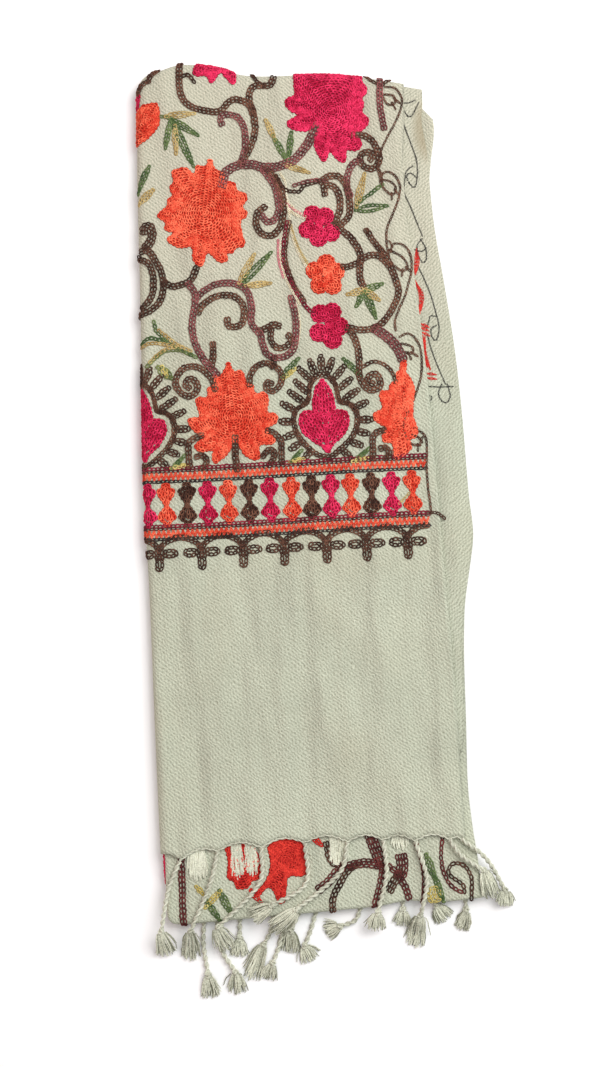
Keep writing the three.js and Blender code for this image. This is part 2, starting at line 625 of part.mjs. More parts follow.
const SECOND_LOCKS = 3; // in each brush
const SECOND_LOCK_THICK = 0.5;
function secondFringe() {
  const level = (x, y) => REAR.top + crown(x, y) + AIR + SECOND_LOCK_THICK;
  const ends = [SECOND_BRUSHES[0].x - 8, SECOND_BRUSHES.at(-1).x + 8];
  const backing = strand(
    fractions(14).map((share) => {
      const x = mix(...ends, share);
      const y = SECOND_BRUSH_ROOT_Y;
      return { x, y, z: level(x, y), wide: 2.2, thick: SECOND_LOCK_THICK };
    }),
  );
  const locks = SECOND_BRUSHES.flatMap((brush) =>
    fractions(SECOND_LOCKS - 1).map((place) => {
      const across = (place - 0.5) * (brush.width - brush.width / SECOND_LOCKS);
      const half = (brush.width / SECOND_LOCKS / 2) * 0.9;
      return strand(
        [0, 0.3, 0.65, 1].map((share) => {
          const x = brush.x + across * (0.75 + 0.25 * share);
          const tipY = brush.tipY + Math.abs(place - 0.5) * 4;
          const y = mix(SECOND_BRUSH_ROOT_Y, tipY, share);
          return { x, y, z: level(x, y), wide: half * (0.7 + 0.3 * share), thick: SECOND_LOCK_THICK };
        }),
      );
    }),
  );
  return fuse([backing, ...locks]);
}

// ---- the shawl --------------------------------------------------------------------------------------------
const cloth = (color) => new THREE.MeshStandardMaterial({ color, roughness: 0.9, metalness: 0, side: THREE.FrontSide });
const shawl = new THREE.Group();
function add(name, geometry, color) {
  const mesh = new THREE.Mesh(geometry, cloth(color));
  mesh.name = name;
  shawl.add(mesh);
}
add("front_cloth", frontCloth(), 0xcfccb4);
add("second_cloth", secondCloth(), 0xcdcbb6);
add("rear_cloth", rearCloth(), 0xcbc9b2);
add("folded_stack", foldedStack(), 0xc6c4ae);
add("front_fringe", frontFringe(), 0xdad8c6);
add("second_fringe", secondFringe(), 0xdad8c6);
add("rear_fringe", rearFringe(), 0xd6d4c2);

export default shawl;
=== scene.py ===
"""A folded wool shawl with chain-stitched flowers and twisted tassels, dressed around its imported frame.

Lengths in the tables are millimetres, in the frame of the solids: +X to the right across the folded
shawl, +Y along it to the far fold, +Z up from the surface that it lies on.
"""

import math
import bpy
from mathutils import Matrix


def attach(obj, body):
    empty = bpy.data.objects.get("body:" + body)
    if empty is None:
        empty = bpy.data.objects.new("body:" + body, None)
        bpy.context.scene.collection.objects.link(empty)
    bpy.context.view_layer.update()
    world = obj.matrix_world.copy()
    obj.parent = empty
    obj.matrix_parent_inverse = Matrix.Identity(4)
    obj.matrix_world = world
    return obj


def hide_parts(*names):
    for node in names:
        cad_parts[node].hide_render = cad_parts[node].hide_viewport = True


bl_info = {
    "name": "Folded embroidered shawl",
    "version": (1, 0, 0),
    "blender": (4, 5, 0),
    "location": "View3D > Sidebar > Shawl",
    "description": "Makes the twill layers, chain stitching, tassels and stage of a folded shawl",
    "category": "Add Mesh",
}

import bpy
import numpy as np
from mathutils import Matrix, Vector

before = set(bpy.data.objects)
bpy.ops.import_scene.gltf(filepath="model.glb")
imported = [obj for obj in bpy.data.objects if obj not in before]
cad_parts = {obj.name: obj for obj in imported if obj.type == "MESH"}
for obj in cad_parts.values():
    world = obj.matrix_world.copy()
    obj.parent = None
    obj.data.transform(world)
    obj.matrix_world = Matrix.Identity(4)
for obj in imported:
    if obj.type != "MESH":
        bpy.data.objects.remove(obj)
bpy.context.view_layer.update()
MM = 0.001

# ---- the folded shape: the same sizes and edges as the solids ----------------------------------
CLOTH = 1.2
LAYER = 1.5
EDGE_HEIGHT = 13.4
CROWN = 1.1
CROWN_RUN = 85
CROWN_START = 12
LIP = 4
REAR_FOOT = 4.5
DROOP = 1.2
DROOP_RUN = 6
DROOP_MOST = 2.2
# how far from a roll the small waves of the cloth reach their full height
ROLL_RUN = 14
# share of the way round a roll that has stitches on it
SEWN_ROUND = 0.8

# y, x
LEFT_EDGE = [
    (-340, -123.5), (-200, -124), (-75, -124), (-30, -125), (60, -123.5),
    (150, -121.5), (240, -120), (300, -117.5), (340, -116),
]
# x, y
FAR_EDGE = [
    (-125, 325), (-104, 329), (-84, 334.5), (-66, 333.5), (-50, 330), (-36, 324.5),
    (-18, 322), (30, 321), (60, 317), (85, 312), (110, 306.5),
]
NEAR_EDGE = [
    (-125, -336), (-97, -334), (-50, -332), (0, -330), (40, -328), (62, -325), (80, -327.5),
    (120, -325.5),
]
# y, x
FRONT_SELVEDGE = [
    (-290, 107), (-170, 106), (-40, 102), (60, 99), (150, 93.5), (200, 90), (235, 89), (270, 92),
    (345, 95),
]
SECOND_SELVEDGE = [
    (-220, 108), (-193, 111.5), (-133, 114), (-100, 118), (-75, 123), (-50, 127), (-20, 125.5),
    (50, 123.8), (100, 121), (150, 116), (190, 111.5), (220, 109.8), (250, 109), (278, 106),
    (292, 107.5), (345, 108.5),
]
REAR_SELVEDGE = [
    (-340, 118.5), (-300, 116), (-270, 113), (-240, 111.5), (-193, 113), (-133, 115), (-50, 121.5),
    (50, 120.5), (100, 118), (160, 112.5), (215, 108.5), (245, 111.5), (265, 115), (278, 115.5),
    (285, 112.5), (289, 107),
]
SECOND_HEM_Y = -216
SECOND_LEFT_X = -106
REAR_FAR_Y = 289
CORNER_X = -100
FAR_CORNER_Y = 305
NEAR_CORNER_Y = -322

# x and y of one end, x and y of the other, width, rise
FRONT_FOLDS = [
    (22, -80, 30, -292, 17, 1.0),
    (58, -120, 66, -292, 15, 0.9),
    (-70, -150, -62, -292, 20, 0.7),
    (-98, 318, -78, 225, 24, 0.9),
    (74, 300, 84, -60, 13, 0.7),
    (-20, 300, 30, 120, 26, 0.6),
]

# bottom, top, how far the layer's edge lies inside the outline (left, far, near and open side), and the
# length and the start of the waves of its open edge
LAYERS = [
    (0.0, 1.45, 11.6, 12.3, 10.4, 7.0, 190, 0.4),
    (1.62, 2.75, 5.6, 12.4, 10.0, 7.4, 150, 2.1),
    (2.9, 4.05, 5.8, 12.4, 10.1, 6.9, 170, 3.4),
    (4.2, 5.9, 10.4, 5.8, 8.3, 7.8, 205, 1.2),
    (6.05, 7.15, 6.2, 4.6, 3.3, 7.2, 230, 4.4),
    (7.3, 8.5, 6.0, 4.6, 3.4, 6.8, 160, 5.4),
]

# root x and y, knee x and y, knot x and y, brush tip x and y, and whether it lies on other tassels
FRONT_TASSELS = [
    (-109, -286, -118.5, -308, -125, -338, -122, -357, 0),
    (-80, -280, -87, -305, -103, -339, -105, -361, 0),
    (-47, -279, -50, -306, -82, -337, -76, -355, 1),
    (-14, -277, -15, -308, -41, -323, -57, -331, 1),
    (18, -278, 11, -301, -23, -327, -42, -342, 1),
    (45, -278, 46, -304, 38, -332, 36, -346, 1),
    (69, -280, 76, -309, 70, -336, 65, -360, 0),
    (95, -280, 103, -293, 119, -305, 125, -326, 0),
    (104, -280, 122, -297, 135, -321, 134, -333, 0),
]
# root x, knee x and y, knot x and y, brush tip x and y
REAR_TASSELS = [
    (-93, -94.5, -350, -92, -373, -90, -390),
    (-84, -82, -353, -71.5, -372, -71, -388),
    (-66, -66.5, -338, -67, -347, -68, -361),
    (-40, -43, -342, -49, -353, -60, -378),
    (-31, -36, -350, -43, -367, -47, -379),
    (-20, -23, -334, -28, -343, -29, -360),
    (-7, -12, -341, -18, -355, -14, -367),
    (27, 21, -338, 9, -342, -2, -346),
    (57, 57.5, -326, 57.5, -332, 56, -344),
    (80, 81, -325, 83, -330, 91, -341),
    (104, 105, -329, 105, -335, 100, -349),
]
# centre x, width, tip y of the brushes that show under the front hem
SECOND_BRUSHES = [(-96, 15, -302), (-66, 9, -302), (-55, 10, -300), (11, 14, -296), (58, 14, -286)]
SECOND_BRUSH_ROOT_Y = -264
REAR_HEM_X = 57
REAR_HEM_Y = -321
FRINGE_LIFT = 1.8
REAR_FRINGE_TOP = 5.4
FLOOR_AIR = 0.3
HEM_SCALLOP = 5
HEM_SCALLOP_SPAN = 30
HEM_LEFT = (-124, -281)
HEM_RIGHT = (107, -279)
HEM_POINTS = [HEM_LEFT] + [row[:2] for row in FRONT_TASSELS] + [HEM_RIGHT]


# ---- shape helpers: all of them take arrays ----------------------------------------------------
def smooth(start, end, value):
    share = np.clip((np.asarray(value, float) - start) / (end - start), 0, 1)
    return share * share * (3 - 2 * share)


def mix(start, end, share):
    return start + (end - start) * share


def read(rows, at):
    """The second column of a table where its first is `at`, on a smooth curve through the rows."""
    xs, ys = np.array(rows, float).T
    slopes = np.empty(len(xs))
    slopes[1:-1] = (ys[2:] - ys[:-2]) / (xs[2:] - xs[:-2])
    slopes[0] = (ys[1] - ys[0]) / (xs[1] - xs[0])
    slopes[-1] = (ys[-1] - ys[-2]) / (xs[-1] - xs[-2])
    place = np.clip(at, xs[0], xs[-1])
    i = np.clip(np.searchsorted(xs, place) - 1, 0, len(xs) - 2)
    span = xs[i + 1] - xs[i]
    t = (place - xs[i]) / span
    leave = t * (1 - t) ** 2 * span * slopes[i]
    arrive = t * t * (1 - t) * span * slopes[i + 1]
    return mix(ys[i], ys[i + 1], t * t * (3 - 2 * t)) + leave - arrive


def left_edge(y):
    return read(LEFT_EDGE, y)


def far_edge(x):
    return read(FAR_EDGE, x)


def near_edge(x):
    return read(NEAR_EDGE, x)


def open_edge(y):
    return read(REAR_SELVEDGE, y)


def crown(x, y):
    """How much the stack rises above its edge height, and how much its open edge droops."""
    rise = CROWN
    for inset in (
        x - left_edge(y) - CROWN_START,
        far_edge(x) - y - CROWN_START,
        y - near_edge(x) - CROWN_START,
        open_edge(y) - x,
    ):
        rise = rise * smooth(0, CROWN_RUN, inset)
    past = np.clip((x - open_edge(y) + DROOP_RUN) / DROOP_RUN, 0, 2)
    return rise - np.minimum(DROOP * past * past, DROOP_MOST)


def fold_lift(x, y):
    """How much the soft folds lift the front cloth."""
    lift = np.zeros(np.shape(x))
    for x0, y0, x1, y1, width, rise in FRONT_FOLDS:
        run = np.array([x1 - x0, y1 - y0], float)
        share = ((x - x0) * run[0] + (y - y0) * run[1]) / (run @ run)
        off = np.abs((x - x0) * run[1] - (y - y0) * run[0]) / math.hypot(*run)
        ends = smooth(-0.15, 0.25, share) * smooth(1.15, 0.75, share)
        lift = lift + rise * ends * (1 - smooth(0, width, off))
    return lift


def crumple(x, y, seed, height):
    """Small soft waves of handled cloth, as a sum of seeded ripples."""
    rng = np.random.default_rng(seed)
    waves = np.zeros(np.shape(x))
    for _ in range(14):
        length = rng.uniform(22, 95)
        angle = rng.uniform(0, math.pi)
        phase = rng.uniform(0, 2 * math.pi)
        run = (x * math.cos(angle) + y * math.sin(angle) * 0.6) * 2 * math.pi / length
        waves = waves + np.sin(run + phase + 0.9 * np.sin(run * 0.37 + phase * 3)) * length / 95
    return height * waves / 4


class Cloth:
    """A stretch of the cloth: flat in its middle, and rolled over at the left side and one end."""

    def __init__(self, top, foot, side, inset, corner, toward, seed, crumpled, folds=False):
        self.top, self.foot, self.radius = top, foot, (top - foot) / 2
        self.side, self.inset, self.corner, self.toward = side, inset, corner, toward
        self.seed, self.crumpled, self.folds = seed, crumpled, folds

    def side_tangent(self, y):
        return left_edge(y) + self.side + self.radius

    def outer_end(self, x):
        edge = far_edge(x) if self.toward > 0 else near_edge(x)
        return edge - self.toward * self.inset

    def end_tangent(self, x):
        return self.outer_end(x) - self.toward * self.radius

    def height(self, x, y):
        lift = fold_lift(x, y) if self.folds else 0
        from_side = x - self.side_tangent(y)
        from_end = self.toward * (self.end_tangent(x) - y)
        flat = smooth(0, ROLL_RUN, from_side) * smooth(0, ROLL_RUN, from_end)
        return self.top + crown(x, y) + lift + flat * crumple(x, y, self.seed, self.crumpled)

    def overhang(self, across, along):
        """The corner's centre for each place, and how far the place lies past it, each way."""
        corner_y = np.clip(along, NEAR_CORNER_Y, FAR_CORNER_Y)
        centre_x = left_edge(corner_y) + self.side + self.corner
        centre_y = self.outer_end(np.maximum(across, CORNER_X)) - self.toward * self.corner
        over_side = np.maximum(0, centre_x - across)
        over_end = np.maximum(0, (along - centre_y) * self.toward)
        return centre_x, centre_y, over_side, over_end

    def rolled_under(self, across, along):
        """Whether places lie so far round the roll that they face the ground."""
        _, _, over_side, over_end = self.overhang(across, along)
        beyond = np.maximum(over_side, over_end) - (self.corner - self.radius)
        return beyond > SEWN_ROUND * math.pi * self.radius

    def point(self, across, along, inward=0.0):
        """Places on the cloth, as rows of x, y and z. Past a tangent line they go on round the roll."""
        across, along = np.broadcast_arrays(np.asarray(across, float), np.asarray(along, float))
        reach = self.corner - self.radius
        centre_x, centre_y, over_side, over_end = self.overhang(across, along)
        over = np.maximum(over_side, over_end)
        beyond = over - reach
        angle = np.clip(beyond / self.radius, 0, math.pi)
        lip = np.maximum(0, beyond - math.pi * self.radius)
        out = np.minimum(over, reach) + (self.radius - inward) * np.sin(angle) - lip
        share = np.minimum(over_side, over_end) / np.maximum(over, 1e-9)
        turn = np.where(over_side >= over_end, share, 2 - share) * math.pi / 4
        x = np.where(over_side > 0, centre_x - out * np.cos(turn), across)
        y = np.where(over_end > 0, centre_y + self.toward * out * np.sin(turn), along)
        rolled = (self.top + self.foot) / 2 + (self.radius - inward) * np.cos(angle)
        z = np.where(beyond > 0, rolled, self.height(x, y) - inward)
        return np.stack([x, y, z], axis=-1)

    def seen(self, x, y):
        """across and along of what shows at x and y from above; past an edge it goes on underneath."""
        x, y = np.asarray(x, float), np.asarray(y, float)

        def round_the_roll(past):
            share = past / self.radius
            bent = np.arcsin(np.clip(share, 0, 1)) + np.maximum(share - 1, 0)
            return self.radius * bent

        side = self.side_tangent(np.clip(y, NEAR_CORNER_Y, FAR_CORNER_Y))
        end = self.end_tangent(np.maximum(x, CORNER_X))
        across = np.where(x < side, side - round_the_roll(side - x), x)
        past_end = (y - end) * self.toward
        along = np.where(past_end > 0, end + self.toward * round_the_roll(past_end), y)
        return np.stack([across, along], axis=-1)


FRONT = Cloth(EDGE_HEIGHT, 0, 0, 0, 18, 1, 11, 0.3, folds=True)
SECOND = Cloth(EDGE_HEIGHT - LAYER, LAYER, LAYER, 2.1, 18, 1, 12, 0.12)
REAR = Cloth(EDGE_HEIGHT - 2 * LAYER - 0.25, REAR_FOOT, 2 * LAYER, 0, 8, -1, 13, 0.12)


def hem_at(x):
    """The front hem: a shallow arch between each two tassels."""
    xs = np.array([p[0] for p in HEM_POINTS], float)
    ys = np.array([p[1] for p in HEM_POINTS], float)
    place = np.clip(x, xs[0], xs[-1])
    i = np.clip(np.searchsorted(xs, place) - 1, 0, len(xs) - 2)
    share = (place - xs[i]) / (xs[i + 1] - xs[i])
    arch = HEM_SCALLOP * np.minimum(1, (xs[i + 1] - xs[i]) / HEM_SCALLOP_SPAN)
    return mix(ys[i], ys[i + 1], share) + arch * np.sin(share * math.pi)


def curve_through(points, step):
    """Points a given step apart on a smooth curve through some points of any dimension."""
    points = np.array(points, float)
    gaps = np.sqrt(np.linalg.norm(np.diff(points, axis=0), axis=1)) + 1e-6
    knots = np.concatenate([[0], np.cumsum(gaps)])
    fine = np.linspace(0, knots[-1], max(12, len(points) * 14))
    dense = np.stack([read(np.column_stack([knots, column]), fine) for column in points.T], axis=-1)
    lengths = np.concatenate([[0], np.cumsum(np.linalg.norm(np.diff(dense, axis=0), axis=1))])
    count = max(2, int(round(lengths[-1] / step)) + 1)
    even = np.linspace(0, lengths[-1], count)
    return np.stack([np.interp(even, lengths, column) for column in dense.T], axis=-1)


# ---- meshes -------------------------------------------------------------------------------------
def make_object(name, verts, faces, edges=()):
    """An object whose vertices are given in millimetres."""
    mesh = bpy.data.meshes.new(name)
    places = (np.asarray(verts, float) * MM).tolist()
    mesh.from_pydata(places, [tuple(e) for e in edges], [tuple(f) for f in faces])
    mesh.update()
    obj = bpy.data.objects.new(name, mesh)
    bpy.context.scene.collection.objects.link(obj)
    return obj


def face_outwards(mesh):
    """Turns a closed mesh's faces round if it is inside out."""
    mesh.calc_loop_triangles()
    corners = np.array([[mesh.vertices[i].co[:] for i in t.vertices] for t in mesh.loop_triangles])
    volume = np.einsum("ij,ij->i", corners[:, 0], np.cross(corners[:, 1], corners[:, 2])).sum()
    if volume < 0:
        mesh.flip_normals()


def finish_piece(obj, material):
    """A piece's finish, slot and body."""
    obj.data.materials.clear()
    obj.data.materials.append(material)
    obj.data.shade_smooth()
    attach(obj, "root")


def lay_places(obj, places):
    """Each vertex's place on its cloth, in metres, as the UVs that the twill is woven on."""
    uv = obj.data.uv_layers.new(name="Cloth")
    corners = np.empty(len(obj.data.loops), dtype=np.int32)
    obj.data.loops.foreach_get("vertex_index", corners)
    uv.data.foreach_set("uv", places[corners].astype(np.float32).ravel())


def cloth_wall(name, cloth, across, along):
    """A closed wall of cloth over a grid of places, with its places as UVs in metres."""
    rows, columns = across.shape
    outer = cloth.point(across, along).reshape(-1, 3)
    inner = cloth.point(across, along, CLOTH).reshape(-1, 3)
    index = np.arange(rows * columns).reshape(rows, columns)
    a, b, c, d = index[:-1, :-1], index[:-1, 1:], index[1:, 1:], index[1:, :-1]
    top = np.stack([a, b, c, d], axis=-1).reshape(-1, 4)
    under = top[:, ::-1] + rows * columns
    rim = np.concatenate([index[0, :-1], index[:-1, -1], index[-1, :0:-1], index[:0:-1, 0]])
    after = np.roll(rim, -1)
    side = np.stack([rim, rim + rows * columns, after + rows * columns, after], axis=-1)
    obj = make_object(name, np.concatenate([outer, inner]), np.concatenate([top, under, side]).tolist())
    face_outwards(obj.data)
    places = np.stack([across, along], axis=-1).reshape(-1, 2)
    lay_places(obj, np.concatenate([places, places]) * MM)
    return obj


def roll_steps(cloth, count):
    """How far past a tangent line the points of a roll and of its lip lie."""
    round_way = math.pi * cloth.radius
    roll = np.linspace(0, round_way, count + 1)[1:]
    return np.concatenate([roll, [round_way + LIP / 2, round_way + LIP]])


# ---- Geometry Nodes ------------------------------------------------------------------------------
class Tree:
    """A Geometry Nodes tree under construction, with one method that makes its nodes."""

    def __init__(self, name, inputs):
        self.tree = bpy.data.node_groups.new(name, "GeometryNodeTree")
        self.tree.interface.new_socket("Geometry", in_out="INPUT", socket_type="NodeSocketGeometry")
        self.sockets = {}
        for label, kind, default in inputs:
            socket = self.tree.interface.new_socket(label, in_out="INPUT", socket_type=kind)
            if default is not None:
                socket.default_value = default
            self.sockets[label] = socket.identifier
        self.tree.interface.new_socket("Geometry", in_out="OUTPUT", socket_type="NodeSocketGeometry")
        self.start = self.tree.nodes.new("NodeGroupInput")
        self.end = self.tree.nodes.new("NodeGroupOutput")

    def node(self, kind, settings=None, **values):
        node = self.tree.nodes.new(kind)
        for key, value in (settings or {}).items():
            setattr(node, key, value)
        for key, value in values.items():
            socket = self.socket(node, key)
            if isinstance(value, bpy.types.NodeSocket):
                self.tree.links.new(value, socket)
            else:
                socket.default_value = value
        return node

    @staticmethod
    def socket(node, key):
        """in3 is the third input, counted from 0; any other key is a socket's name with _ for spaces."""
        if key.startswith("in") and key[2:].isdigit():
            return node.inputs[int(key[2:])]
        name = key.strip("_").replace("_", " ")
        return next(s for s in node.inputs if s.enabled and s.name == name)

    def math(self, operation, *values):
        keys = {f"in{i}": value for i, value in enumerate(values)}
        return self.node("ShaderNodeMath", {"operation": operation}, **keys).outputs[0]

    def store(self, geometry, name, value):
        """The geometry with a number for each of its points."""
        kind = {"data_type": "FLOAT", "domain": "POINT"}
        node = self.node("GeometryNodeStoreNamedAttribute", kind, in0=geometry, Name=name, Value=value)
        return node.outputs[0]

    def attribute(self, name, kind="FLOAT"):
        node = self.node("GeometryNodeInputNamedAttribute", {"data_type": kind}, Name=name)
        return next(s for s in node.outputs if s.enabled and s.name == "Attribute")

    def grow(self, source, name, **values):
        """The tree's result on an object, as a plain mesh object of its own; the source is removed."""
        modifier = source.modifiers.new("grow", "NODES")
        modifier.node_group = self.tree
        for label, value in values.items():
            modifier[self.sockets[label.replace("_", " ")]] = value
        bpy.context.view_layer.update()
        made = source.evaluated_get(bpy.context.evaluated_depsgraph_get())
        mesh = bpy.data.meshes.new_from_object(made)
        mesh.name = name
        source.modifiers.remove(modifier)
        old = source.data
        bpy.data.objects.remove(source)
        if isinstance(old, bpy.types.Mesh):
            bpy.data.meshes.remove(old)
        obj = bpy.data.objects.new(name, mesh)
        bpy.context.scene.collection.objects.link(obj)
        return obj


def chain_stitch_tree():
    """Sets a loop of yarn, the link of a chain stitch, on each point of a mesh. A bed of painted shade, a
    dark disc under the loop, closes it.
    """
    t = Tree(
        "chain stitch",
        [
            ("Link Length", "NodeSocketFloat", 0.003),
            ("Link Width", "NodeSocketFloat", 0.002),
            ("Yarn Thickness", "NodeSocketFloat", 0.0008),
            ("Bed", "NodeSocketBool", False),
        ],
    )
    given = {s.name: s for s in t.start.outputs}
    ring = t.node("GeometryNodeCurvePrimitiveCircle", Resolution=8, Radius=0.5).outputs[0]
    place = t.node("ShaderNodeSeparateXYZ", in0=t.node("GeometryNodeInputPosition").outputs[0])
    along, aside = place.outputs[0], place.outputs[1]
    narrowing = t.math("SUBTRACT", 1.12, t.math("MULTIPLY", along, 0.5))
    wide = t.math("MULTIPLY", t.math("MULTIPLY", aside, narrowing), given["Link Width"])
    long = t.math("MULTIPLY", along, given["Link Length"])
    high = t.math("MULTIPLY", t.math("SUBTRACT", 0.25, along), given["Yarn Thickness"])
    high = t.math("MULTIPLY", high, 0.55)
    loop = t.node(
        "GeometryNodeSetPosition",
        in0=ring,
        Position=t.node("ShaderNodeCombineXYZ", in0=long, in1=wide, in2=high).outputs[0],
    ).outputs[0]
    yarn = t.node(
        "GeometryNodeCurvePrimitiveCircle",
        Resolution=4,
        Radius=t.math("MULTIPLY", given["Yarn Thickness"], 0.5),
    ).outputs[0]
    link = t.node("GeometryNodeCurveToMesh", Curve=loop, Profile_Curve=yarn).outputs[0]

    # the bed: a flat disc a little wider than the loop, darkened by the finish as painted shade in the
    # gaps between the links
    across = t.math("MULTIPLY", t.math("MULTIPLY", aside, 2.2), given["Link Width"])
    flat = t.node(
        "GeometryNodeSetPosition",
        in0=ring,
        Position=t.node("ShaderNodeCombineXYZ", in0=long, in1=across).outputs[0],
    ).outputs[0]
    shade_bed = t.node("GeometryNodeFillCurve", in0=flat).outputs[0]
    shade_bed = t.store(shade_bed, "recess_shade", 1.0)
    both = t.node("GeometryNodeJoinGeometry").inputs[0]
    t.tree.links.new(shade_bed, both)
    t.tree.links.new(link, both)
    link = t.node(
        "GeometryNodeSwitch",
        {"input_type": "GEOMETRY"},
        Switch=given["Bed"],
        False_=link,
        True_=both.node.outputs[0],
    ).outputs[0]
    turn = t.node(
        "FunctionNodeAxesToRotation",
        {"primary_axis": "Z", "secondary_axis": "X"},
        in0=t.attribute("face", "FLOAT_VECTOR"),
        in1=t.attribute("heading", "FLOAT_VECTOR"),
    ).outputs[0]
    many = t.node(
        "GeometryNodeInstanceOnPoints",
        Points=given["Geometry"],
        Instance=link,
        Rotation=turn,
        Scale=t.attribute("size", "FLOAT_VECTOR"),
    ).outputs[0]
    real = t.node("GeometryNodeRealizeInstances", in0=many).outputs[0]
    t.tree.links.new(real, t.end.inputs[0])
    return t


def twisted_rope_tree():
    """Lays two plies of yarn, twisted round each other, along each run of edges."""
    t = Tree(
        "twisted rope",
        [
            ("Twist Length", "NodeSocketFloat", 0.0065),
            ("Groove", "NodeSocketFloat", 0.3),
            ("Step", "NodeSocketFloat", 0.0008),
            ("Sides", "NodeSocketInt", 12),
        ],
    )
    given = {s.name: s for s in t.start.outputs}
    path = t.node("GeometryNodeMeshToCurve", in0=given["Geometry"]).outputs[0]
    path = t.node("GeometryNodeSetCurveRadius", in0=path, Radius=t.attribute("thick")).outputs[0]
    by_length = {"mode": "LENGTH"}
    path = t.node("GeometryNodeResampleCurve", by_length, Curve=path, Length=given["Step"]).outputs[0]
    run = t.node("GeometryNodeSplineParameter").outputs["Length"]
    turns = t.math("DIVIDE", t.math("MULTIPLY", run, 2 * math.pi), given["Twist Length"])
    path = t.node("GeometryNodeSetCurveTilt", in0=path, Tilt=turns).outputs[0]
    ring = t.node("GeometryNodeCurvePrimitiveCircle", Resolution=given["Sides"], Radius=1.0).outputs[0]
    at = t.node("GeometryNodeInputPosition").outputs[0]
    place = t.node("ShaderNodeSeparateXYZ", in0=at)
    across = t.math("MULTIPLY", place.outputs[0], place.outputs[0])
    over = t.math("MULTIPLY", place.outputs[1], place.outputs[1])
    lobes = t.math("MULTIPLY", t.math("SUBTRACT", across, over), given["Groove"])
    swell = t.math("ADD", t.math("SUBTRACT", 1.0, given["Groove"]), lobes)
    shaped = t.node("ShaderNodeVectorMath", {"operation": "SCALE"}, in0=at, Scale=swell).outputs[0]
    plies = t.node("GeometryNodeSetPosition", in0=ring, Position=shaped).outputs[0]
    # painted shade: the finish darkens the yarn by this number, most in the grooves between the plies
    plies = t.store(plies, "recess_shade", t.math("SUBTRACT", given["Groove"], lobes))
    radius = t.node("GeometryNodeInputRadius").outputs[0]
    rope = t.node(
        "GeometryNodeCurveToMesh", Curve=path, Profile_Curve=plies, Scale=radius, Fill_Caps=True
    ).outputs[0]
    t.tree.links.new(rope, t.end.inputs[0])
    return t


# ---- materials -----------------------------------------------------------------------------------
class Socket:
    """A shader socket that can be used in Python expressions."""

    def __init__(self, build, output):
        self.build, self.output = build, output

    def join(self, operation, other, swapped=False):
        pair = (other, self) if swapped else (self, other)
        return self.build.math(operation, *pair)

    def __add__(self, other):
        return self.join("ADD", other)

    def __radd__(self, other):
        return self.join("ADD", other, True)

    def __sub__(self, other):
        return self.join("SUBTRACT", other)

    def __rsub__(self, other):
        return self.join("SUBTRACT", other, True)

    def __mul__(self, other):
        return self.join("MULTIPLY", other)

    def __rmul__(self, other):
        return self.join("MULTIPLY", other, True)

    def __truediv__(self, other):
        return self.join("DIVIDE", other)

    def __pow__(self, other):
        return self.join("POWER", other)


class Finish:
    """A material under construction."""

    def __init__(self, name):
        self.material = bpy.data.materials.new(name)
        self.material.use_nodes = True
        self.nodes = self.material.node_tree.nodes
        self.links = self.material.node_tree.links
        self.nodes.clear()

    def add(self, kind, settings=None, inputs=None):
        """A node, with its settings made first and then its sockets' values or links."""
        node = self.nodes.new(kind)
        for key, value in (settings or {}).items():
            setattr(node, key, value)
        for key, value in (inputs or {}).items():
            if isinstance(value, Socket):
                self.links.new(value.output, node.inputs[key])
            else:
                node.inputs[key].default_value = value
        return node

    def out(self, kind, output=0, settings=None, inputs=None):
        return Socket(self, self.add(kind, settings, inputs).outputs[output])

    def math(self, operation, *values):
        return self.out("ShaderNodeMath", 0, {"operation": operation}, dict(enumerate(values)))

    def sine(self, value):
        """From 0 to 1."""
        return self.math("SINE", value) * 0.5 + 0.5

    def blend(self, share, start, end):
        """Mixes two colours."""
        settings = {"data_type": "RGBA", "clamp_factor": True}
        return self.out("ShaderNodeMix", 2, settings, {0: share, 6: start, 7: end})

    def between(self, value, low, high):
        """0 below low, 1 above high and smooth between them."""
        inputs = {"Value": value, "From Min": low, "From Max": high}
        return self.out("ShaderNodeMapRange", 0, {"interpolation_type": "SMOOTHSTEP"}, inputs)

    def noise(self, place, scale, detail=2.0, roughness=0.5):
        inputs = {"Vector": place, "Scale": scale, "Detail": detail, "Roughness": roughness}
        return self.out("ShaderNodeTexNoise", 0, None, inputs)

    def object_place(self):
        return self.out("ShaderNodeTexCoord", "Object")

    def surface(self, color, roughness, bumps, sheen=0.0, sheen_tint=(1, 1, 1, 1), specular=0.25):
        """Ends the material. bumps are heights with how far each stands in metres."""
        normal = None
        for height, distance in bumps:
            inputs = {"Height": height, "Distance": distance, "Strength": 1.0}
            if normal is not None:
                inputs["Normal"] = normal
            normal = self.out("ShaderNodeBump", 0, None, inputs)
        inputs = {
            "Base Color": color,
            "Roughness": roughness,
            "Specular IOR Level": specular,
            "Sheen Weight": sheen,
            "Sheen Roughness": 0.5,
            "Sheen Tint": sheen_tint,
        }
        if normal is not None:
            inputs["Normal"] = normal
        shader = self.add("ShaderNodeBsdfPrincipled", None, inputs)
        end = self.add("ShaderNodeOutputMaterial")
        self.links.new(shader.outputs[0], end.inputs[0])
        return self.material


def srgb(*screen):
    """A colour from its red, green and blue on a screen, 0 to 255."""
    return tuple(c / 255 / 12.92 if c <= 10 else ((c / 255 + 0.055) / 1.055) ** 2.4 for c in screen)


def opaque(color, share=1.0):
    return tuple(min(1, c * share) for c in color[:3]) + (1,)


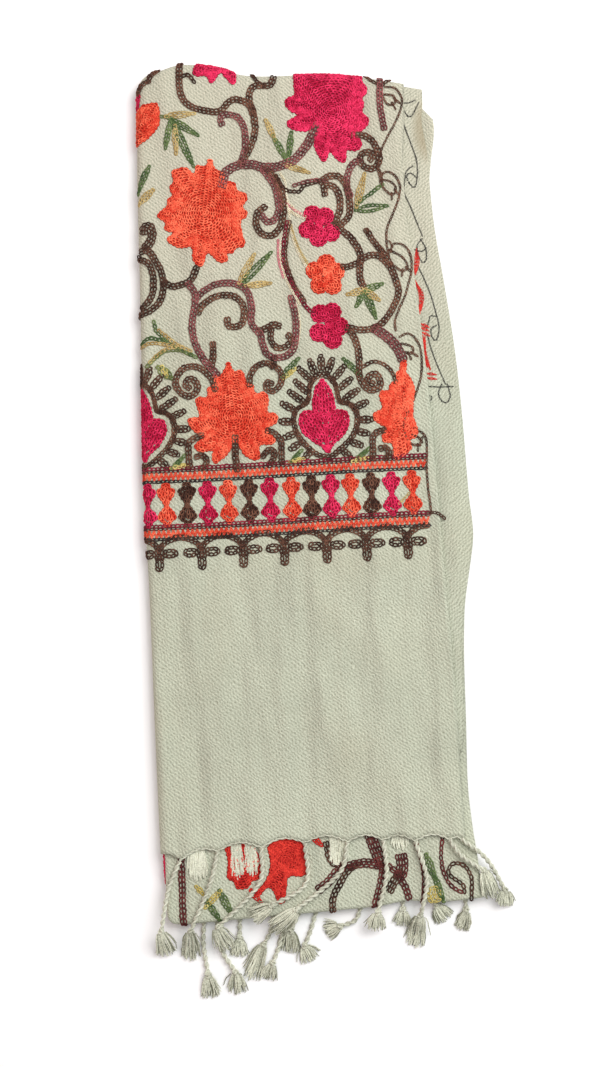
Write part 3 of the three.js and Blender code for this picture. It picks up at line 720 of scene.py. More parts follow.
def twill_wool(name, sizes, leaning, shade=1.0, dip_shade=None):
    """Wool twill on the Cloth UVs, whose ribs lean to the left (1) or to the right (-1).

    The last argument gives the middle and the reach along x and y, in metres, of a dip where painted
    shade makes the cloth browner.
    """
    f = Finish(name)
    place = f.out("ShaderNodeUVMap", 0, {"uv_map": "Cloth"})
    at = f.add("ShaderNodeSeparateXYZ", None, {0: place})
    u, v = Socket(f, at.outputs[0]), Socket(f, at.outputs[1])
    wander = f.noise(place, 110, 2.0) * 0.0048
    stretched = f.out("ShaderNodeVectorMath", 0, {"operation": "MULTIPLY"}, {0: place, 1: (1, 0.22, 1)})
    creases = f.noise(stretched, 26, 2.0, 0.4)
    turn = 2 * math.pi / sizes.rib_pitch
    ribs = f.sine((u * (leaning * 0.66) + v * 0.75 + wander) * turn)
    warps = f.sine((u * 0.99 + v * (leaning * 0.13) + wander) * turn)
    fuzz = f.noise(place, 2600, 3.0, 0.6)
    slubs = f.between(f.noise(place, 520, 2.0), 0.3, 0.7)
    grain = f.between(f.noise(place, 950, 3.0, 0.7), 0.32, 0.68)
    weave = ribs * 0.3 + warps * 0.16 + slubs * 0.14 + grain * 0.4
    cloud = f.noise(place, 22, 3.0)
    warm = f.noise(place, 9, 2.0)
    light, rib_shade = sizes.wool_color, sizes.rib_shade_color
    dull, bright = opaque(light, 0.93 * shade), opaque(light, 1.06 * shade)
    color = f.blend(f.between(cloud, 0.3, 0.72), dull, bright)
    color = f.blend(f.between(warm, 0.42, 0.75) * 0.45, color, opaque(sizes.warm_color, shade))
    here = f.add("ShaderNodeSeparateXYZ", None, {0: f.object_place()})
    x, y = Socket(f, here.outputs[0]), Socket(f, here.outputs[1])
    upper, lower = f.between(y, 0.03, 0.2), 1 - f.between(y, -0.28, -0.2)
    color = f.blend(upper * 0.8, color, opaque(sizes.upper_color, shade))
    color = f.blend(lower * 0.7, color, opaque(light, 1.13 * shade))
    # painted shade between the ribs and warps of the twill, mixed with the yarn's own uneven tone from
    # its slubs and grain
    color = f.blend((1 - weave) ** 1.25, color, opaque(rib_shade, shade))
    color = f.blend(f.between(fuzz, 0.48, 0.72) * 0.5, color, opaque(light, 1.3 * shade))
    # painted shade: the dip by the second cloth's far corner is blended towards a browner colour
    if dip_shade:
        (x_mid, y_mid), (x_reach, y_reach) = dip_shade
        away = ((x - x_mid) / x_reach) ** 2 + ((y - y_mid) / y_reach) ** 2
        color = f.blend((1 - f.between(away, 0.0, 1.0)) * 0.6, color, opaque(sizes.dip_shade_color))
    rough = 0.84 + fuzz * 0.12
    bumps = [(creases, 0.018), (cloud, 0.0015), (weave, sizes.rib_depth), (fuzz, 0.0002)]
    return f.surface(color, rough, bumps, sheen=0.12, sheen_tint=opaque(light), specular=0.12)


def dyed_yarn(name, light, dark, fibre_highlight=0.5):
    """Wool yarn, between a light and a dark shade of its dye.

    Its tone attribute says how light it is. A second attribute says how far the yarn lies down in a
    groove or in the bed under the links, and darkens it there as painted shade. The last argument says
    how strongly a painted highlight lightens single fibres.
    """
    f = Finish(name)
    place = f.object_place()
    tone = f.out("ShaderNodeAttribute", "Fac", {"attribute_name": "tone"})
    fibre = f.noise(place, 2400, 2.0, 0.6)
    ply = f.noise(place, 900, 1.0)
    patch = f.noise(place, 45, 2.0)
    share = tone * 0.75 + (ply - 0.5) * 0.9 + (patch - 0.5) * 0.8
    color = f.blend(f.between(share, 0.0, 1.0), opaque(dark), opaque(light))
    # painted highlight: some fibres are lightened past the dye's light shade
    color = f.blend(f.between(fibre, 0.45, 0.8) * fibre_highlight, color, opaque(light, 1.25))
    # painted shade: yarn down in a groove or in the bed under the links goes to half its dark shade
    recess_shade = f.out("ShaderNodeAttribute", "Fac", {"attribute_name": "recess_shade"})
    color = f.blend(recess_shade, color, opaque(dark, 0.5))
    bumps = [(ply, 0.0002), (fibre, 0.00012)]
    return f.surface(color, 0.82, bumps, sheen=0.1, sheen_tint=opaque(light), specular=0.2)


# ---- settings --------------------------------------------------------------------------------------
def length_of(name, description, default):
    return bpy.props.FloatProperty(
        name=name, description=description, default=default, unit="LENGTH", precision=5
    )


def color_of(name, description, default):
    return bpy.props.FloatVectorProperty(
        name=name, description=description, default=default, subtype="COLOR", min=0, max=1
    )


class ShawlClothSettings(bpy.types.PropertyGroup):
    """The woven layers."""

    grid_step: length_of("Grid step", "Distance between the points of a cloth's mesh", 0.003)
    rib_pitch: length_of("Rib pitch", "Distance from one twill rib to the next", 0.00236)
    rib_depth: length_of("Rib depth", "How far the twill ribs stand", 0.00045)
    wool_color: color_of("Wool", "The cloth on top of its ribs", srgb(210, 214, 193))
    # painted shade: the darker colour that the twill takes between its ribs, mixed with the yarn's uneven
    # tone
    rib_shade_color: color_of("Between ribs", "The cloth between its ribs", srgb(120, 121, 101))
    upper_color: color_of("Upper wool", "The wool where the flowers are", srgb(220, 212, 192))
    # painted shade: the browner colour painted into the dip by the second cloth's far corner
    dip_shade_color: color_of("Hollows", "The wool down in a dip", srgb(150, 134, 104))
    warm_color: color_of("Warm patches", "Where the wool is a little yellower", srgb(206, 199, 173))


class ShawlStitchSettings(bpy.types.PropertyGroup):
    """The chain stitching."""

    pitch: length_of("Stitch pitch", "Distance from one chain link to the next", 0.0033)
    link_length: length_of("Link length", "Length of one chain link", 0.0039)
    link_width: length_of("Link width", "Width of one chain link", 0.002)
    row_pitch: length_of("Row pitch", "Distance between rows that fill a petal", 0.0024)
    yarn_thickness: length_of("Yarn", "Thickness of the embroidery yarn", 0.00118)


class ShawlTasselSettings(bpy.types.PropertyGroup):
    """The fringe."""

    rope_radius: length_of("Rope radius", "Radius of a twisted tassel", 0.00195)
    twist_length: length_of("Twist", "Length of one turn of the two plies", 0.0105)
    thread_radius: length_of("Thread radius", "Radius of one combed thread", 0.00042)
    threads: bpy.props.IntProperty(
        name="Threads", description="Threads in one brush", default=64, min=8, max=120
    )
    brush_spread: length_of("Brush spread", "Half width of a brush at its tip", 0.0072)
    yarn_color: color_of("Yarn", "The undyed fringe yarn", srgb(230, 231, 211))
    shadow_color: color_of("Yarn grooves", "The fringe yarn between its plies", srgb(120, 121, 100))


class ShawlStageSettings(bpy.types.PropertyGroup):
    """The camera, the floor and the lights."""

    lens: bpy.props.FloatProperty(
        name="Lens", description="Focal length", default=60, min=10, unit="CAMERA"
    )
    distance: length_of("Distance", "From the camera to what it looks at", 1.37)
    elevation: bpy.props.FloatProperty(
        name="Elevation", description="Angle above the floor", default=math.radians(84), unit="ROTATION"
    )
    roll: bpy.props.FloatProperty(
        name="Roll",
        description="Turn about the line of sight",
        default=math.radians(-2.9),
        unit="ROTATION",
    )
    floor_color: color_of("Floor", "The pale floor", (0.95, 0.95, 0.95))


# light and dark shade of each dye
DYES = {
    "orange": (srgb(255, 128, 94), srgb(204, 42, 24)),
    "scarlet": (srgb(238, 74, 60), srgb(170, 26, 24)),
    "magenta": (srgb(244, 60, 108), srgb(166, 4, 48)),
    "maroon": (srgb(164, 48, 68), srgb(84, 18, 32)),
    "wine": (srgb(118, 58, 54), srgb(62, 26, 27)),
    "brown": (srgb(128, 87, 68), srgb(54, 31, 24)),
    "dark_brown": (srgb(104, 71, 56), srgb(44, 27, 21)),
    "rose": (srgb(156, 92, 90), srgb(84, 46, 46)),
    "green": (srgb(120, 136, 86), srgb(52, 78, 42)),
    "olive": (srgb(144, 150, 98), srgb(78, 92, 50)),
    "tan": (srgb(208, 186, 130), srgb(158, 130, 78)),
    "yellow": (srgb(216, 202, 132), srgb(178, 158, 84)),
    "black": (srgb(74, 62, 60), srgb(34, 28, 28)),
    "grey": (srgb(74, 72, 70), srgb(40, 38, 38)),
    "cream": (srgb(238, 230, 208), srgb(212, 198, 164)),
    "pink": (srgb(226, 150, 156), srgb(192, 100, 112)),
}
# pieces whose stitches lie so close that no cloth shows through them: their links get a dark bed of
# painted shade that fills the gaps
DENSE = ("flowers", "buds", "hourglasses", "rear_flowers")
# width of the links in a filled shape, as a share of the usual width
FILLING_WIDE = 0.9


# ---- the chain stitching --------------------------------------------------------------------------
class Embroidery:
    """Collects stitches, dye by dye and piece by piece, before they are made."""

    def __init__(self, sizes, seed):
        self.pitch = sizes.pitch / MM
        self.row = sizes.row_pitch / MM
        self.rng = np.random.default_rng(seed)
        self.stitches = {}

    def sew(self, piece, dye, cloth, places, headings, long=1.0, wide=1.0, scale=1.0, lift=0.2, tone=0.5):
        """Adds stitches at places on a cloth, each pulled along its heading."""
        places, headings = np.atleast_2d(places), np.atleast_2d(headings)
        kept = ~cloth.rolled_under(places[:, 0], places[:, 1])
        places, headings = places[kept], headings[kept]
        count = len(places)
        if not count:
            return
        headings = headings / (np.linalg.norm(headings, axis=1, keepdims=True) + 1e-9)
        step = 0.4
        base = cloth.point(places[:, 0], places[:, 1])
        ahead = cloth.point(*(places + headings * step).T) - base
        aside = np.stack([-headings[:, 1], headings[:, 0]], axis=-1)
        left = cloth.point(*(places + aside * step).T) - base
        face = np.cross(ahead, left)
        face /= np.linalg.norm(face, axis=1, keepdims=True) + 1e-12
        size = np.tile([long * scale, wide * scale, scale], (count, 1))
        size *= self.rng.uniform(0.9, 1.12, (count, 1))
        shift = self.rng.normal(0, 0.1 * scale, (count, 1)) * left / step
        record = {
            "at": base + face * (lift + self.rng.uniform(-0.08, 0.12, (count, 1)) * scale) + shift,
            "heading": ahead,
            "face": face + self.rng.normal(0, 0.07, face.shape),
            "size": size,
            "tone": np.clip(tone + self.rng.normal(0, 0.28, count), 0, 1),
        }
        self.stitches.setdefault((piece, dye), []).append(record)

    def row_of(self, piece, dye, cloth, path, pitch=None, **how):
        """One row of chain along a path of cloth places."""
        spots = curve_through(path, pitch or self.pitch * how.get("scale", 1.0))
        self.sew(piece, dye, cloth, spots, np.gradient(spots, axis=0), **how)

    def ring_of(self, piece, dye, cloth, outline, **how):
        """One row of chain round a closed path."""
        closed = np.concatenate([outline, outline[:1]])
        spots = curve_through(closed, self.pitch * how.get("scale", 1.0))[:-1]
        ways = np.roll(spots, -1, axis=0) - np.roll(spots, 1, axis=0)
        self.sew(piece, dye, cloth, spots, ways, **how)

    def vine(self, piece, dye, cloth, points, rows=2, gap=2.3, taper=0.0, **how):
        """Rows side by side along a path that is given as it is seen from above."""
        path = curve_through(cloth.seen(*np.array(points, float).T), 1.0)
        aside = leftwards(np.gradient(path, axis=0))
        swell = 1 - taper * np.abs(np.linspace(-1, 1, len(path)))[:, None] ** 2
        for i in range(rows):
            off = (i - (rows - 1) / 2) * gap
            self.row_of(piece, dye, cloth, path + aside * off * swell, **how)

    def fill(self, piece, dye, cloth, outline, angle=90.0, **how):
        """A row round the rim of an outline, and rows at an angle in degrees within it."""
        how = {"wide": FILLING_WIDE, **how}
        shape = curve_through(np.array(list(outline) + list(outline[:1]), float), 1.5)[:-1]
        rim = shrunk(shape, self.row * 0.6)
        self.ring_of(piece, dye, cloth, rim, **how)
        inner = shrunk(shape, self.row * 1.3)
        run = np.array([math.cos(math.radians(angle)), math.sin(math.radians(angle))])
        aside = np.array([-run[1], run[0]])
        middle = shape.mean(axis=0)
        offs = (inner - middle) @ aside
        for off in np.arange(offs.min() + self.row * 0.4, offs.max(), self.row):
            cuts = crossings(inner, middle + aside * off, run)
            for start, end in zip(cuts[::2], cuts[1::2]):
                count = max(1, int(round((end - start) / self.pitch)))
                at = start + (np.arange(count) + 0.5) * (end - start) / count
                spots = middle + aside * off + at[:, None] * run
                self.sew(piece, dye, cloth, spots, np.tile(run, (count, 1)), **how)

    def spiral(self, piece, dye, cloth, outline, middle=None, **how):
        """Rows round and round within an outline that is seen from above, in to its middle."""
        how = {"wide": FILLING_WIDE, **how}
        shape = cloth.seen(*np.array(outline, float).T)
        shape = curve_through(np.concatenate([shape, shape[:1]]), 1.0)[:-1]
        rim = shrunk(shape, self.row * 0.6)
        for _ in range(3):
            rim = (np.roll(rim, 1, axis=0) + rim * 2 + np.roll(rim, -1, axis=0)) / 4
        middle = cloth.seen(*middle) if middle is not None else shape.mean(axis=0)
        reach = np.linalg.norm(rim - middle, axis=1, keepdims=True)
        shade = self.rng.uniform(0.4, 0.62)
        count = int(reach.max() / self.row + 0.7)
        for i in range(count):
            rounded = mix(reach, reach.mean(), smooth(0, 0.7, i / count)) * (1 - i / count)
            tone = np.clip(shade + 0.12 * math.sin(i * 2.3), 0, 1)
            self.ring_of(piece, dye, cloth, middle + (rim - middle) / reach * rounded, tone=tone, **how)
        self.sew(piece, dye, cloth, middle, np.array([0.3, 1.0]), tone=shade, **how)

    def leaf(self, piece, dye, cloth, base, tip, width, **how):
        """A leaf in outline: one row up each side."""
        ends = cloth.seen(*np.array([base, tip], float).T)
        run = ends[1] - ends[0]
        share = np.linspace(0, 1, 9)
        swell = np.sin(share**0.85 * math.pi) * (width / 2 - 1.3)
        middle = ends[0] + share[:, None] * run
        for side in (-1, 1):
            self.row_of(piece, dye, cloth, middle + side * swell[:, None] * leftwards(run[None]), **how)

    def make(self, tree, sizes, yarns):
        """Turns the stitches into one piece for each piece name and dye."""
        for (piece, dye), records in sorted(self.stitches.items()):
            joined = {key: np.concatenate([r[key] for r in records]) for key in records[0]}
            name = f"{piece}_{dye}"
            source = make_object(name + "_points", joined["at"], [])
            for key in ("heading", "face", "size"):
                layer = source.data.attributes.new(key, "FLOAT_VECTOR", "POINT")
                layer.data.foreach_set("vector", joined[key].astype(np.float32).ravel())
            layer = source.data.attributes.new("tone", "FLOAT", "POINT")
            layer.data.foreach_set("value", joined["tone"].astype(np.float32))
            obj = tree.grow(
                source,
                name,
                Link_Length=sizes.link_length,
                Link_Width=sizes.link_width,
                Yarn_Thickness=sizes.yarn_thickness,
                Bed=piece in DENSE,
            )
            finish_piece(obj, yarns[dye])


def leftwards(ways):
    """Unit vectors a quarter turn left of some ways."""
    lengths = np.linalg.norm(ways, axis=1, keepdims=True) + 1e-9
    return np.stack([-ways[:, 1], ways[:, 0]], axis=-1) / lengths


def shrunk(outline, inset):
    """A closed outline moved inwards by a distance."""
    leave, arrive = np.roll(outline, -2, axis=0) - outline, outline - np.roll(outline, 2, axis=0)
    x, y = outline.T
    turning = np.sign(np.sum(x * np.roll(y, -1) - np.roll(x, -1) * y))
    aside = leftwards(leave + arrive)
    mitre = np.clip(np.sum(aside * leftwards(leave), axis=1, keepdims=True), 0.45, 1)
    return outline + aside * turning * inset / mitre


def oval(centre, way, length, width):
    """A closed path of places round a centre, longest along a way."""
    way = np.array(way, float) / np.hypot(*way)
    turn = np.linspace(0, 2 * math.pi, 15)[:-1]
    aside = np.array([-way[1], way[0]])
    along = np.outer(np.cos(turn) * length / 2, way)
    return np.array(centre) + along + np.outer(np.sin(turn) * width / 2, aside)


def crossings(outline, start, run):
    """How far along a line it crosses a closed outline, in order."""
    normal = np.array([-run[1], run[0]])
    a, b = outline, np.roll(outline, -1, axis=0)
    da, db = (a - start) @ normal, (b - start) @ normal
    hit = (da > 0) != (db > 0)
    share = da[hit] / (da[hit] - db[hit])
    at = ((a[hit] + (b[hit] - a[hit]) * share[:, None]) - start) @ run
    return np.sort(at)


# ---- the pattern: places in millimetres as they are seen from above ---------------------------------
# dye, rows, gap between them, and the points that the stem passes
TOP_STEMS = [
    ("brown", 2, 2.3, [
        (-82, 335), (-83, 320), (-82.5, 310), (-79, 302), (-72, 297), (-62, 294), (-53, 293),
        (-48, 297), (-42, 302), (-35, 301), (-29, 297), (-26.5, 290),
    ]),
    ("dark_brown", 1, 2.3, [(-82, 322), (-77, 324.5), (-73, 321), (-71.5, 318.5)]),
    ("brown", 2, 2.3, [(-100, 329), (-108, 326), (-113, 321), (-116, 312)]),
    ("brown", 2, 2.4, [
        (-9, 318), (-11, 313), (-15, 312), (-24, 312), (-28, 307), (-28.5, 300), (-26, 290), (-25, 280),
        (-26.5, 270), (-31, 260), (-38, 249),
    ]),
    ("dark_brown", 1, 2.3, [(-26, 322), (-22, 316), (-17, 312)]),
    ("rose", 2, 2.2, [
        (-51, 283), (-52, 287), (-49, 290), (-44, 290), (-38, 287), (-34, 280), (-33, 272), (-34, 262),
        (-37, 252),
    ]),
    ("rose", 3, 2.1, [
        (-53, 233), (-50, 243), (-46, 246), (-38, 249), (-28, 248.5), (-20, 246), (-10, 245.5),
        (-4, 247), (3, 250), (10, 256), (16, 264), (20, 271), (24, 278),
    ]),
    ("brown", 2, 2.4, [
        (-18, 245), (-11, 235), (-7, 225), (-6, 215), (-7, 205), (-9, 198), (-14, 192), (-20, 191),
        (-26, 195), (-28, 203), (-26, 210), (-21, 214),
    ]),
    ("rose", 2, 2.2, [
        (-20, 243), (-13, 232), (-10, 220), (-10, 210), (-14, 203), (-19, 202), (-23, 207),
    ]),
    ("brown", 2, 2.2, [
        (24, 232), (30, 236), (38, 235.5), (43, 230), (45, 222), (46, 212), (44, 202), (38, 197),
    ]),
    ("brown", 2, 2.2, [
        (27, 222), (27, 228), (32, 228.5), (36, 225), (38.5, 218), (38, 210), (36, 203), (34, 198),
    ]),
    ("rose", 2, 2.3, [(55, 248), (50, 245), (46, 238), (44.5, 230), (46, 220)]),
    ("brown", 2, 2.2, [
        (52, 268.5), (58, 268), (64, 265), (69, 258), (71, 250), (69, 243), (65, 240.5), (58, 243),
        (56, 249), (58, 253), (63, 254), (66, 251), (64, 248),
    ]),
    ("brown", 1, 2.2, [(64, 316), (68, 312), (73, 309)]),
    ("brown", 1, 2.2, [(82, 312), (77, 308)]),
    ("rose", 2, 2.1, [(75, 313), (74, 300), (74, 290), (75, 280), (76, 273)]),
    ("dark_brown", 1, 2.2, [
        (-10, 238), (-4, 227), (3, 225), (8, 225), (10, 229), (18, 231), (24, 233),
    ]),
    ("rose", 1, 2.2, [(4, 230), (10, 232), (20, 233.5), (28, 232)]),
]
LEFT_STEMS = [
    ("dark_brown", 3, 2.0, [
        (-116, 199), (-115, 203), (-111, 203), (-109.5, 198), (-111, 191), (-115, 187),
    ]),
    ("dark_brown", 2, 2.4, [
        (-118, 184), (-113, 184), (-108, 176), (-104, 168), (-102.5, 160), (-103, 150), (-106, 143),
        (-111, 138), (-118, 134.5), (-123, 134),
    ]),
    ("dark_brown", 2, 2.2, [
        (-120.5, 179), (-114, 174), (-111, 168), (-110, 160), (-111, 150), (-115, 143), (-120, 139),
    ]),
    ("dark_brown", 2, 2.4, [(-101, 158), (-96, 154.5), (-90, 155), (-84, 157), (-80, 160), (-76, 168)]),
    ("rose", 2, 2.4, [
        (-83, 156), (-79, 150), (-78, 143), (-80, 132), (-81.5, 122), (-80, 110), (-76, 100), (-71, 92),
        (-64, 83),
    ]),
    ("rose", 2, 2.3, [
        (-78, 143), (-72, 149), (-62, 154), (-52, 155), (-44, 153), (-38, 148), (-36, 143),
        (-34.5, 133), (-35.5, 124), (-33, 118), (-29, 113), (-27, 104), (-24, 97), (-18, 94), (-10, 95),
        (-4, 100), (-1.5, 110), (-1, 122), (-2, 133), (-3.5, 141),
    ]),
    ("brown", 2, 2.3, [
        (-76, 133), (-72, 139), (-64, 144), (-55, 145.5), (-46, 143), (-41, 136), (-40.5, 129),
        (-43, 122), (-48, 120), (-53, 121), (-54, 126),
    ]),
    ("brown", 2, 2.6, [(-28, 116), (-22, 118.5), (-18, 120), (-14, 119)]),
    ("brown", 2, 2.0, [
        (-20, 116), (-21, 109), (-18, 103), (-13, 101.5), (-8, 103.5), (-5, 108), (-7, 111),
    ]),
    ("brown", 2, 2.2, [(-66, 107), (-66, 100), (-68, 88)]),
    ("brown", 2, 2.2, [
        (-66, 72), (-68, 80), (-74, 87), (-82, 90.5), (-90, 89), (-95, 83), (-96, 76), (-92, 70),
        (-86, 67.5), (-81, 70), (-79.5, 75), (-82, 80), (-86, 80.5), (-88.5, 77), (-86, 74),
    ]),
    ("brown", 2, 1.9, [
        (-39, 74), (-38.5, 80), (-34, 87), (-27, 90), (-20, 88), (-15, 83), (-14, 77), (-17, 70.5),
        (-22, 68), (-26, 71), (-25.5, 75), (-22, 74),
    ]),
    ("dark_brown", 2, 1.9, [(-20, 87), (-19, 94)]),
]
MIDDLE_STEMS = [
    ("maroon", 1, 2.2, [
        (-4, 200), (-7, 185), (-8, 170), (-5, 158), (-1, 148), (5, 137), (10, 130), (13, 127),
    ]),
    ("brown", 1, 2.2, [(-2, 200), (-5.2, 185), (-6.2, 170), (-3.2, 158), (0.8, 148), (6.6, 138)]),
    ("brown", 2, 2.4, [
        (34, 198), (38, 193), (44, 187), (49, 180), (52, 172), (51, 162), (51, 152), (53, 147),
    ]),
    ("brown", 2, 2.2, [
        (38, 163), (42, 163), (50, 166), (58, 171), (66, 170.5), (71, 166), (76, 158), (79, 148),
        (80, 140), (74, 127), (68, 119), (60, 114), (50, 112.5), (39, 115),
    ]),
    ("brown", 2, 2.0, [(58, 191), (63, 182), (70, 172), (75, 163)]),
    ("rose", 3, 2.3, [(60, 113), (68, 107), (74, 101), (78, 94), (80, 88)]),
    ("brown", 2, 2.2, [
        (39, 113), (43, 108), (46, 98), (46.5, 85), (46, 77), (49, 69), (55, 64.5), (61, 67), (62, 72),
        (59, 77), (54, 76), (52.5, 72), (56, 70),
    ]),
    ("brown", 1, 2.2, [(50, 84), (57, 87), (65, 85), (71, 79), (74, 70)]),
]
LOW_STEMS = [
    ("brown", 2, 2.2, [(-52, 33), (-52.5, 20), (-52, 8)]),
    ("brown", 2, 2.2, [(-88, 13), (-88.5, 22), (-88, 30), (-84, 34), (-78, 36)]),
    ("brown", 2, 1.8, [(-82, 20), (-78, 20.5), (-75, 17), (-75.5, 13), (-78, 11)]),
    ("brown", 2, 2.0, [(-17, 13), (-17, 22), (-17, 28), (-22, 35), (-27, 37)]),
    ("brown", 2, 1.8, [(-31, 18), (-27, 22), (-23, 21), (-23, 16), (-25, 12.5)]),
    ("brown", 2, 2.0, [(53, 12), (53.5, 20), (54, 28), (58, 32), (63, 33)]),
    ("brown", 2, 1.8, [(60, 19), (64, 19), (66, 14), (63, 11)]),
]
# the thin scroll along the front selvedge, and the barbs of its curls
SCROLL = [
    [
        (80, 306), (86, 305), (90, 300), (91.5, 294), (89, 285), (84, 275), (78, 265), (73, 255),
        (70, 245), (70, 236), (72, 230),
    ],
    [(77, 300), (84, 299), (86, 296), (85, 292), (80, 292), (77, 297)],
    [
        (72, 232), (73, 236), (78, 237), (83, 233), (86, 225), (84, 215), (79, 203), (74, 192),
        (73, 180), (74, 170),
    ],
    [(72, 231), (77, 230), (82, 226), (82, 221), (79, 219), (74, 223), (71, 229)],
    [
        (76, 174), (78, 179), (84, 179), (89, 175), (91.5, 167), (91, 157), (88, 147), (85, 138),
        (80, 128), (76, 118), (76, 112),
    ],
    [(76, 174), (84, 169), (88, 163), (87.5, 159), (83, 158), (79, 161)],
    [
        (80, 106), (85, 108), (90, 105), (94, 98), (95, 88), (94, 75), (90, 63), (85, 52), (80, 42),
        (78, 35), (80, 26), (84, 21), (89, 20),
    ],
    [(81, 100), (87, 98), (89, 95), (87, 92), (83, 93)],
    [(87, 33), (94, 27), (95, 18), (94, 5), (94, -10), (95, -25), (95.5, -32)],
    [(85, 28), (89, 26), (91, 23)], [(82, 222), (84, 219.5)], [(79, 219), (79, 216)],
    [(72, 236), (70.5, 239)], [(87.5, 160), (89.5, 158)], [(84, 158), (83.5, 155)],
    [(77, 178), (75.5, 181)], [(88, 92.5), (91, 90.5)], [(85, 92), (86.5, 88.5)],
    [(86, 296), (88.5, 293.5)], [(84, 292), (85.5, 288.5)], [(88, 20), (88, 16.5)],
    [(91.5, 25), (90, 21.5)],
]
# light threads laid beside the middle stem
PALE_LINES = [
    ("cream", [
        (-3, 221), (-2.5, 212), (-2, 200), (-9.5, 185), (-10, 170), (-7.5, 158), (-3, 147), (2.5, 136),
    ]),
    ("cream", [(-3, 213), (2, 207), (10, 203)]), ("cream", [(-2, 217), (4, 209), (11, 204.5)]),
    ("pink", [(-3, 215), (3, 210), (10, 205)]),
    ("cream", [(-3, 200), (0, 188), (3, 178), (10, 163)]),
    ("tan", [(-1.5, 200), (1.5, 188), (5, 178), (11, 166)]),
    ("cream", [(-4, 222), (-3.6, 232), (-7, 240)]),
    ("cream", [(-8, 96), (-2, 101), (1, 110), (2, 122), (0, 135)]),
    ("pink", [(-11.5, 186), (-12, 172), (-9, 158)]),
    ("tan", [(72, -24), (76, -20), (79, -17)]),
]
# dye, centre, and the outline through the tips of the petals and the notches between them
FLOWERS = [
    ("orange", (-68, 212), [
        (-61.5, 256), (-57.5, 247), (-51, 243), (-50, 237), (-43, 234.5), (-41, 228), (-35, 225.5),
        (-34, 221), (-38, 215), (-34, 210), (-36, 206), (-40, 204), (-39, 194), (-37.5, 184),
        (-45, 182), (-48, 177.5), (-53, 178.5), (-50, 173.5), (-58, 171.5), (-67, 180), (-70, 172),
        (-74, 169), (-79, 176), (-79, 185), (-89, 185), (-99, 192.5), (-92, 197), (-100, 200),
        (-99, 206), (-105, 210), (-102, 216), (-97, 219), (-97, 225), (-92, 227), (-95, 234),
        (-91, 238), (-92, 247), (-80, 248.5), (-74.5, 243), (-73, 250.5), (-66, 249.5),
    ]),
    ("orange", (-53, 50), [
        (-55, 93.5), (-50, 85), (-44, 85.5), (-41, 76), (-36, 74), (-35, 67), (-27, 67.5), (-25, 60),
        (-26, 51.5), (-18.5, 50), (-20, 43), (-27, 38), (-22, 32), (-22, 26.5), (-33.5, 26),
        (-33.5, 16.5), (-38, 14.5), (-46, 19.5), (-52, 29), (-58, 21), (-69, 13), (-71, 19), (-70, 24),
        (-79, 23), (-84.5, 27), (-82, 31), (-76, 33.5), (-84, 40), (-88.5, 48), (-86, 50.5),
        (-79, 50.5), (-81.5, 62), (-80, 67), (-72.5, 66), (-71.5, 74), (-67, 75.5), (-66.5, 84),
        (-60.5, 83),
    ]),
    ("orange", (74, 48), [
        (80.5, 88), (81.5, 79.5), (86, 72), (88.5, 63), (87, 54), (85, 46), (88, 36), (88.5, 28),
        (84, 24.5), (81, 24), (84, 19), (77, 12), (70, 9.5), (69, 16), (68, 23), (63, 22.5), (60.5, 29),
        (65, 34), (59, 38), (54.5, 43), (57, 48.5), (63, 49.5), (61, 57), (61, 64), (68, 64),
        (69.5, 70), (74, 71), (75, 79.5), (79.5, 80),
    ]),
    ("magenta", (36, 289), [
        (7, 325), (35, 327), (60, 323), (61, 311), (64.5, 308), (63, 300), (59.5, 298), (62, 293),
        (59.5, 286.5), (64.5, 281.5), (63, 275), (57, 270.5), (53, 268.5), (58, 263), (57, 258),
        (53, 255), (46, 256.5), (45, 249.5), (43, 246), (38, 249), (32, 255.5), (30, 250), (27, 248),
        (22, 255), (20.5, 263), (21.5, 270), (24.5, 278), (18, 274), (10, 273.5), (3, 276), (-1, 280.5),
        (3, 284), (9, 287.5), (3, 290), (-1, 297), (0.5, 301.5), (7, 304), (6.5, 313),
    ]),
    ("magenta", (-54, 330), [
        (-67, 339), (-50, 338), (-41, 329), (-38, 322), (-40, 313), (-46, 320.5), (-50.5, 325),
        (-54, 320), (-58.5, 315.5), (-61.5, 322), (-72, 324),
    ]),
    ("orange", (-110, 288), [
        (-101, 303), (-112, 301.5), (-120, 294), (-122, 282), (-119, 269), (-112, 272), (-106, 277),
        (-101, 283), (-99.5, 291), (-100, 299),
    ]),
    ("magenta", (-118, 305), [(-114, 311), (-119, 309), (-120, 300), (-116, 299)]),
]
ROUND_FLOWERS = [
    ("magenta", (21, 198), [(16.5, 206), (26, 204), (12, 194), (20, 187), (30, 190.5)], 7.2),
    ("orange", (24, 157), [(25, 166.5), (16, 161), (32, 159.5), (19, 149.5), (29, 148.5)], 7.2),
    ("magenta", (25, 117), [(18, 127), (27.5, 127.5), (32.5, 116), (27, 106), (16.5, 112)], 7.4),
]
